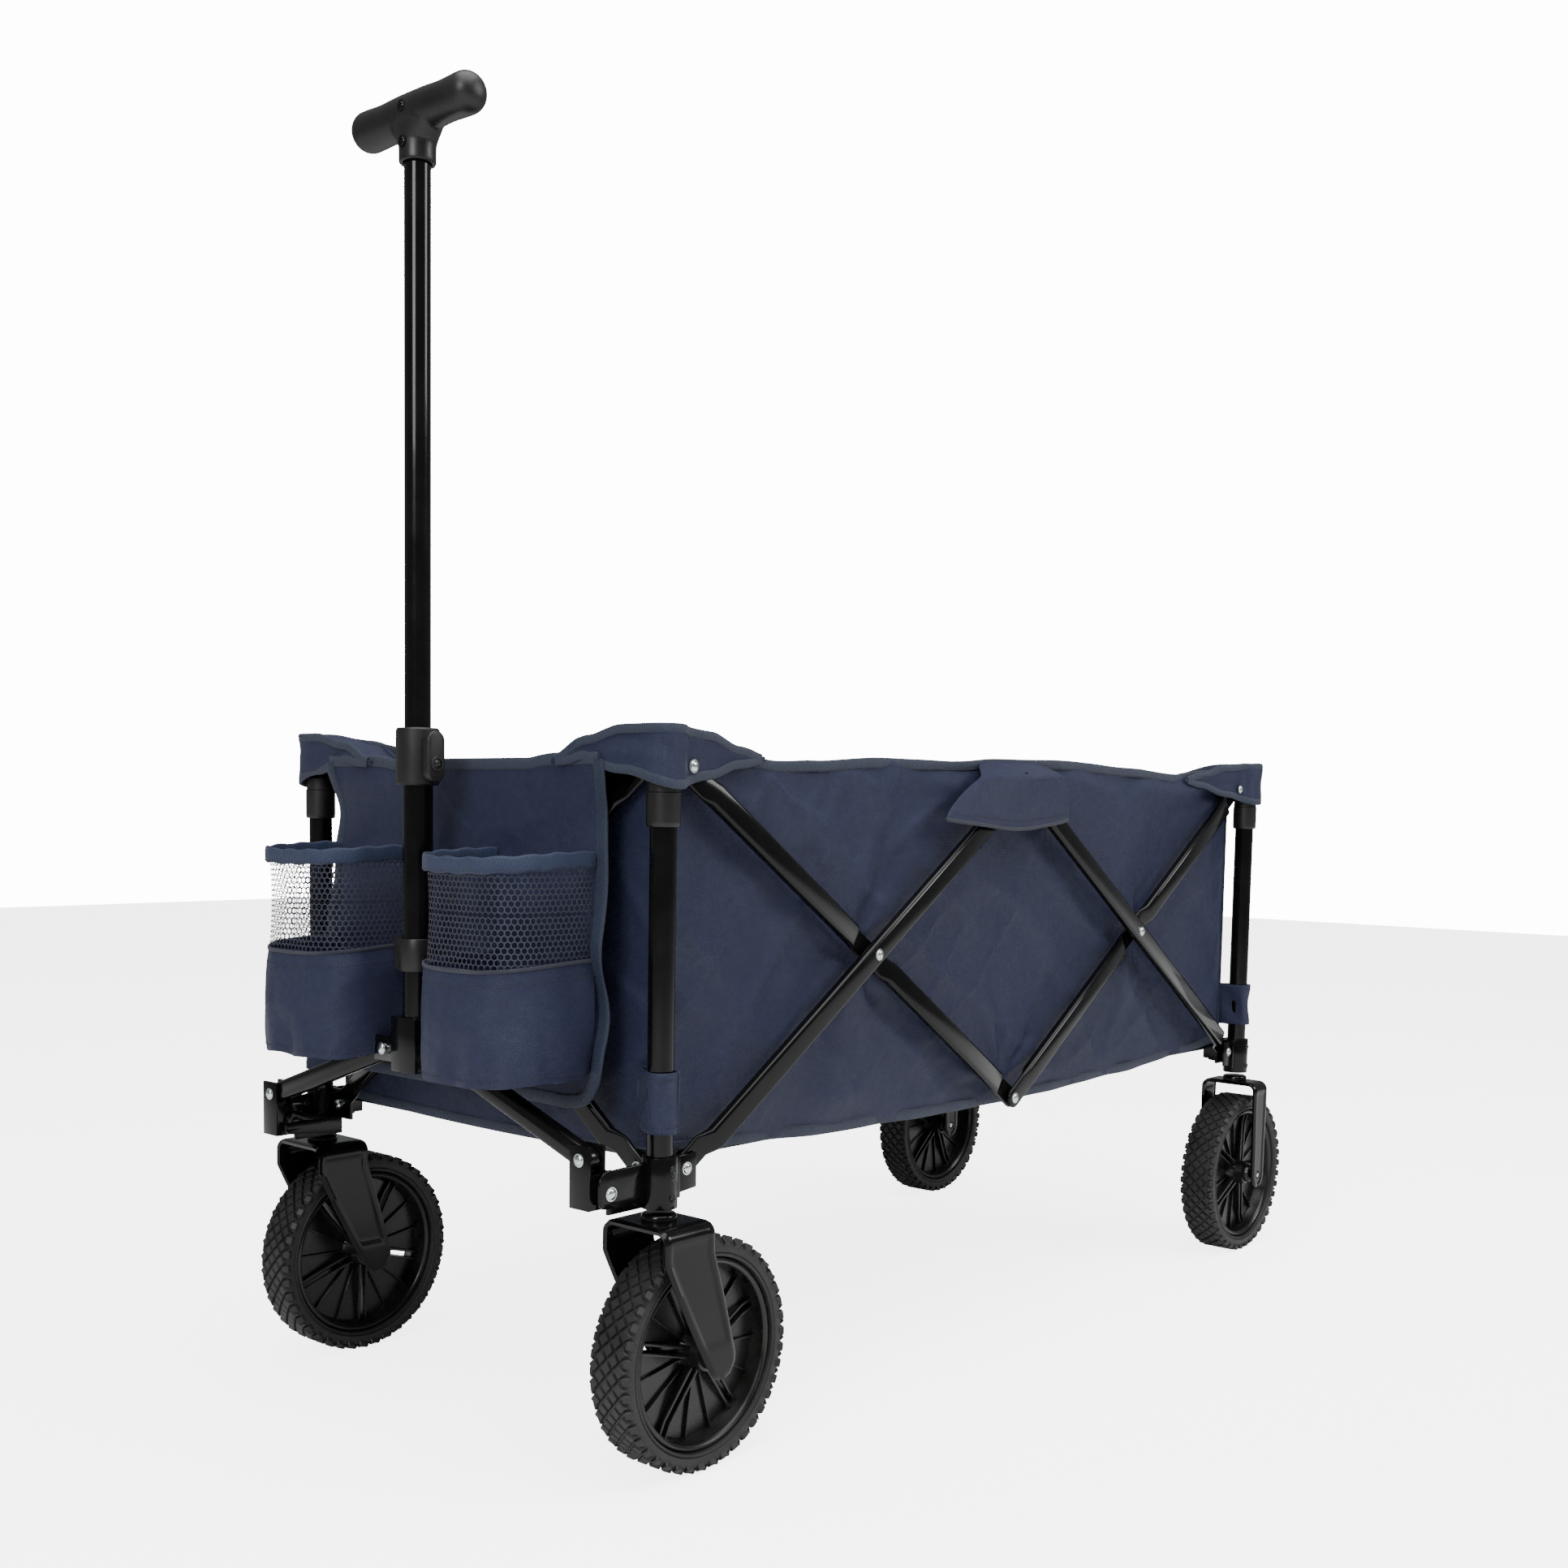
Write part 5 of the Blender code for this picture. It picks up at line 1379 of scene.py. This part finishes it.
apron = sewn("apron_cloth", [cloth((2 * APRON_HALF, 0.31), (110, 100), apron_point)], NAVY, WALL_BODY["front"],
             "end", replaces=["front_apron"])
edge_points = [apron_point(0.0, 0.05 + 0.93 * k / 34) for k in range(35)]
edge_points += [apron_point(k / 24, 0.995) for k in range(1, 24)]
edge_points += [apron_point(1.0, 0.98 - 0.93 * k / 34) for k in range(35)]
edge_path = smooth_path(edge_points, 6)
rim_path = smooth_path([apron_point(k / 24, 0.048) + Vector((0, 0, 0.0006)) for k in range(25)], 8)
apron_edge = sewn("apron_binding", [tape(edge_path, lambda share: (-1, 0, 0), 0.0056, TAPE_THICK, 380),
                                    tape(rim_path, lambda share: (-1, 0, 0), TAPE_HALF, TAPE_THICK, 130)],
                  BINDING, WALL_BODY["front"], "end", thickness=0)
print("apron edge", edge_path.length)

# %% [markdown]
# ## Pockets
# Two bottle pockets stand on the apron. Each is a deep cup of cloth, then a band of net with hexagonal holes, then an
# elastic that holds the mouth. The net starts as a grid. Every other upright is dissolved and the corners are pushed
# up and down in turn, which makes hexagons, and the edges that are left are then given the thickness of the cord.

# %% Pocket outline
POCKET_LOW, POCKET_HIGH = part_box("pocket_left")
POCKET_ROUND = 0.038
POCKET_MIDDLE = (POCKET_LOW.y + POCKET_HIGH.y) / 2
FLOOR_Z, MOUTH_Z, NET_Z = POCKET_LOW.z - 0.013, POCKET_HIGH.z, 0.409
HEX_ACROSS, HEX_HEIGHT, NET_CORD = 0.0026, 0.0045, 0.0011
CUP_WALL = 0.70  # the share of the cup that is its wall; the rest is its floor


def pocket_path(side, grow=0.0):
    """The pocket seen from above, from the apron round and back. It is drawn for the left and mirrored."""
    near, far = POCKET_LOW.y - grow, POCKET_HIGH.y + grow
    front = POCKET_LOW.x - grow
    outline = [(APRON_X - 0.001, near), (APRON_X - 0.02, near - 0.002)]
    outline += arc((front + POCKET_ROUND, near + POCKET_ROUND), POCKET_ROUND, 270, 180, 8)
    outline += arc((front + POCKET_ROUND, far - POCKET_ROUND), POCKET_ROUND, 180, 90, 8)
    outline += [(APRON_X - 0.02, far + 0.002), (APRON_X - 0.001, far)]
    return smooth_path([(x, SIDES[side] * y, 0) for x, y in outline], 6)


def facing(path, share):
    """The way out of a pocket's wall."""
    run = path(min(1, share + 0.01)) - path(max(0, share - 0.01))
    normal = Vector((run.y, -run.x, 0)).normalized()
    return normal if normal.dot(path(share) - path.heart) > 0 else -normal


def hexagons(columns, rows):
    """A flat net from -0.5 to 0.5 each way."""
    shape = bmesh.new()
    bmesh.ops.create_grid(shape, x_segments=columns, y_segments=rows, size=0.5)
    step_x, step_y = 1 / columns, 1 / rows
    spare, lift = [], {}
    for vert in shape.verts:
        i, j = round((vert.co.x + 0.5) / step_x), round((vert.co.y + 0.5) / step_y)
        lift[vert] = step_y * (0.17 if (i + j) % 2 == 0 else -0.17)
    for edge in shape.edges:
        a, b = edge.verts
        i, j = round((a.co.x + 0.5) / step_x), round((min(a.co.y, b.co.y) + 0.5) / step_y)
        if abs(a.co.x - b.co.x) < step_x / 2 and not edge.is_boundary and (i + j) % 2:
            spare.append(edge)
    for vert, rise in lift.items():
        if abs(vert.co.y) < 0.499:
            vert.co.y += rise
    bmesh.ops.dissolve_edges(shape, edges=spare, use_verts=False)
    return shape


# %% Pocket pieces
def net_shape(path):
    """The net band, wrapped round the pocket and given its cord."""
    height = MOUTH_Z - NET_Z + 0.004
    columns = 2 * round(path.length / HEX_ACROSS / 2)
    shape = hexagons(columns, round(height / HEX_HEIGHT))
    for vert in shape.verts:
        share, rise = vert.co.x + 0.5, vert.co.y + 0.5
        sag = 0.0022 * math.sin(math.pi * rise) * math.sin(math.pi * share)
        vert.co = path(share) - facing(path, share) * sag + Vector((0, 0, NET_Z - 0.006 + height * rise))
    bmesh.ops.wireframe(shape, faces=shape.faces, thickness=NET_CORD, offset=0.0, use_replace=True,
                        use_boundary=True, use_even_offset=True)
    mark_round(shape)
    bmesh.ops.triangulate(shape, faces=shape.faces)
    return shape


def cup_point(path, across, down, lift=0.0):
    """The cup: walls that lean out a little, then a gathered floor drawn in to the apron."""
    point = path(across)
    out = facing(path, across)
    brim = NET_Z - 0.007 * math.sin(math.pi * across) ** 2
    foot = FLOOR_Z + 0.004 - 0.006 * math.sin(math.pi * across) ** 0.6 + 0.0012 * math.sin(across * 23 + point.y * 60)
    if down <= CUP_WALL:
        t = down / CUP_WALL
        z = brim + (foot - brim) * t
        swell = 0.0030 * math.sin(math.pi * t * 0.75)
        swell += 0.0026 * noise.noise(Vector((across * 8, t * 2.4, point.y * 40)))
        dart = -0.0035 * smoothstep(0.55, 1.0, t) * max(0, math.cos((across - 0.5) * 4 * math.pi)) ** 8
        return point + out * (swell + dart + 0.0008 + lift) + Vector((0, 0, z))
    t = (down - CUP_WALL) / (1 - CUP_WALL)
    heart = Vector((APRON_X - 0.004, path.heart.y, 0))
    sag = 0.004 * math.sin(math.pi * min(1, t * 1.1)) + 0.0012 * math.sin(across * 60) * math.sin(math.pi * t)
    return (point + out * 0.0020 * (1 - t)).lerp(heart, t * 0.985) + Vector((0, 0, foot - sag))


for side, way in SIDES.items():
    path = pocket_path(side)
    path.heart = Vector(((POCKET_LOW.x + APRON_X) / 2, way * POCKET_MIDDLE, 0))
    wide = pocket_path(side, 0.0012)
    wide.heart = path.heart
    heights = [MOUTH_Z - 0.005 + 0.0025 * math.cos(2 * math.pi * k / 40) + 0.0006 * math.sin(k * 1.7)
               for k in range(41)]
    elastic_run = smooth_path([wide(k / 40) + Vector((0, 0, height)) for k, height in enumerate(heights)], 6)
    elastic = tape(elastic_run, lambda share: facing(wide, share), 0.0065, TAPE_THICK, 200)
    cup = cloth((path.length, 0.14), (120, 60), lambda u, v: cup_point(path, u, v))
    bmesh.ops.remove_doubles(cup, verts=cup.verts, dist=2e-5)
    rows = [smooth_path([cup_point(path, k / 50, down, 0.0007) for k in range(51)], 6) for down in (0.095, 0.66)]
    rows.append(smooth_path([elastic_run(k / 50) - Vector((0, 0, 0.0048)) + facing(wide, k / 50) * 0.0016
                             for k in range(51)], 6))
    seam = smooth_path([cup_point(path, k / 50, 0.005, 0.0006) for k in range(51)], 6)
    body = WALL_BODY["front"]
    cup_piece = sewn(f"pocket_cup_{side}", [cup], NAVY, body, "end", replaces=[f"pocket_{side}"])
    band = sewn(f"pocket_elastic_{side}", [elastic], ELASTIC, body, "end", thickness=0)
    net = sewn(f"pocket_net_{side}", [net_shape(path)], NET, body, "end", thickness=0)
    sewing = [stitches(row, lambda share: facing(wide, share)) for row in rows]
    sewing.append(tape(seam, lambda share: facing(wide, share), 0.0016, 0.0011, 150))
    sewing = sewn(f"pocket_stitches_{side}", sewing, STITCH, body, "end", thickness=0)
    print("pocket", side, "girth", path.length, "net faces", len(net.data.polygons))
for side in SIDES:
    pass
for end in ENDS:
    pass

# %% [markdown]
# ## Post loops
# Low on every post a loop of cloth, sewn to the end wall, goes round the tube and keeps the tub's corner down. It is a
# short flattened tube of doubled cloth with a line of stitches near either edge.

# %% Post loops
LOOP_LOW, LOOP_HIGH = 0.277, 0.325
LOOP_RADIUS, TAIL_RADIUS = POST_RADIUS + 0.0022, 0.0030
TAIL = (-0.0095, -0.0290)
LEVEL = Vector((1, 1, 0))
LOOP_HEART = Vector((TAIL[0] / 2, TAIL[1] / 2, 0))


def loop_path():
    """The loop from above, in the corner's own axes: round the post and drawn together at its tail."""
    lean = math.degrees(math.atan2(TAIL[1], TAIL[0]))
    outline = arc((0, 0), LOOP_RADIUS, lean + 112, lean + 248, 14)
    outline += arc(TAIL, TAIL_RADIUS, lean - 60, lean + 60, 4)
    outline.append(outline[0])
    return smooth_path([(x, y, 0) for x, y in outline], 6)


for end, side in CORNERS:
    corner, name = corner_place(end, side), f"{end}_{side}"
    path = loop_path()

    def loop_point(across, down, lift=0.0):
        flat = path(across % 1.0)
        run = path((across + 0.01) % 1.0) - path((across - 0.01) % 1.0)
        out = Vector((run.y, -run.x, 0)).normalized()
        out = out if out.dot(flat - LOOP_HEART) > 0 else -out
        flare = 0.0007 * math.cos(2 * math.pi * down) + 0.0006 * math.sin(across * 25 + down * 6 + SIDES[side])
        return corner @ (flat + out * (flare + lift) + Vector((0, 0, LOOP_HIGH - (LOOP_HIGH - LOOP_LOW) * down)))

    tube = cloth((path.length, LOOP_HIGH - LOOP_LOW), (84, 20), loop_point)
    bmesh.ops.remove_doubles(tube, verts=tube.verts, dist=3e-5)
    bmesh.ops.recalc_face_normals(tube, faces=tube.faces)
    loop_piece = sewn(f"post_loop_{name}", [tube], NAVY, f"upper_corner_{name}", "none", thickness=0.0016)
    lines = []
    for down in (0.12, 0.88):
        row = smooth_path([loop_point(k / 40, down, 0.0010) for k in range(41)], 5)
        heart = corner @ LOOP_HEART
        lines.append(stitches(row, lambda share: (row(share) - heart) * LEVEL))
    row_piece = sewn(f"loop_stitches_{name}", lines, STITCH, f"upper_corner_{name}", "none", thickness=0)
print("post loops", loop_path().length)

# %% [markdown]
# ## Floor mats
# The tub's floor is a thin padded mat in two long halves, so that it can fold up as the wagon closes. It is sewn
# across in channels, and the filling stands up between the seams. The tub's own floor cloth lies under each half.

# %% Floor mats
CHANNEL = 0.078
SEAM_HALF, CROWN = 0.0014, 0.0017  # half the mat's thickness at a seam, and what the filling adds
CENTRE_GAP, SIDE_GAP, END_GAP = 0.0002, 0.0030, 0.0028
FLOOR_OVERLAP = 0.004  # how far a half of the floor cloth reaches under the other


def mat_point(low, high, upper):
    """A skin of the mat's half, as a rule for cloth()."""
    def lay(across, down):
        x, y = low.x + (high.x - low.x) * across, high.y - (high.y - low.y) * down
        edge = min(1, min(across, 1 - across) * 40, min(down, 1 - down) * 14) ** 0.5
        channel = 1 - (1 - abs(math.sin(math.pi * (x - low.x) / CHANNEL))) ** 3
        soft = 0.0004 * noise.noise(Vector((x * 14, y * 14, 3.0)))
        middle_z = (low.z + high.z) / 2
        return Vector((x, y, middle_z + (1 if upper else -1) * edge * (SEAM_HALF + CROWN * channel + soft)))
    return lay


for side, way in SIDES.items():
    low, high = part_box(f"mat_half_{side}")
    low.x, high.x = WALL_X["front"] + END_GAP, WALL_X["rear"] - END_GAP
    low.y, high.y = sorted((way * CENTRE_GAP, way * (WALL_Y - SIDE_GAP)))
    size = (high.x - low.x, high.y - low.y)
    first, last, width = WALL_X["front"] + 0.0026, WALL_X["rear"] - 0.0026, WALL_Y - 0.0028

    def floor_point(across, down):
        hollow = 0.0005 * noise.noise(Vector((across * 12, down * 4, way)))
        return Vector((first + (last - first) * across,
                       way * (-FLOOR_OVERLAP + (width + FLOOR_OVERLAP) * (1 - down if way > 0 else down)),
                       low.z - 0.0018 - 0.0006 * way + hollow))

    floor_cloth = sewn(f"tub_floor_{side}", [cloth((last - first, width), (120, 24), floor_point)],
                       MAT_NAVY, BODY_OF[f"mat_half_{side}"], "side", thickness=0.0008)
    skin = cloth(size, (260, 36), mat_point(low, high, True))
    under = cloth(size, (260, 36), mat_point(low, high, False))
    bmesh.ops.reverse_faces(under, faces=under.faces)
    mat = sewn(f"floor_mat_{side}", [skin, under], MAT_NAVY, BODY_OF[f"mat_half_{side}"], "side",
               replaces=[f"mat_half_{side}"], thickness=0)
    merged = bmesh.new()
    merged.from_mesh(mat.data)
    bmesh.ops.remove_doubles(merged, verts=merged.verts, dist=2e-5)
    merged.to_mesh(mat.data)
    merged.free()
print("mats laid")

# %% [markdown]
# ## Finish
# The last cell prints the dressed wagon's box.

# %% Finish
low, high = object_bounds()
print("dressed box", low, high)
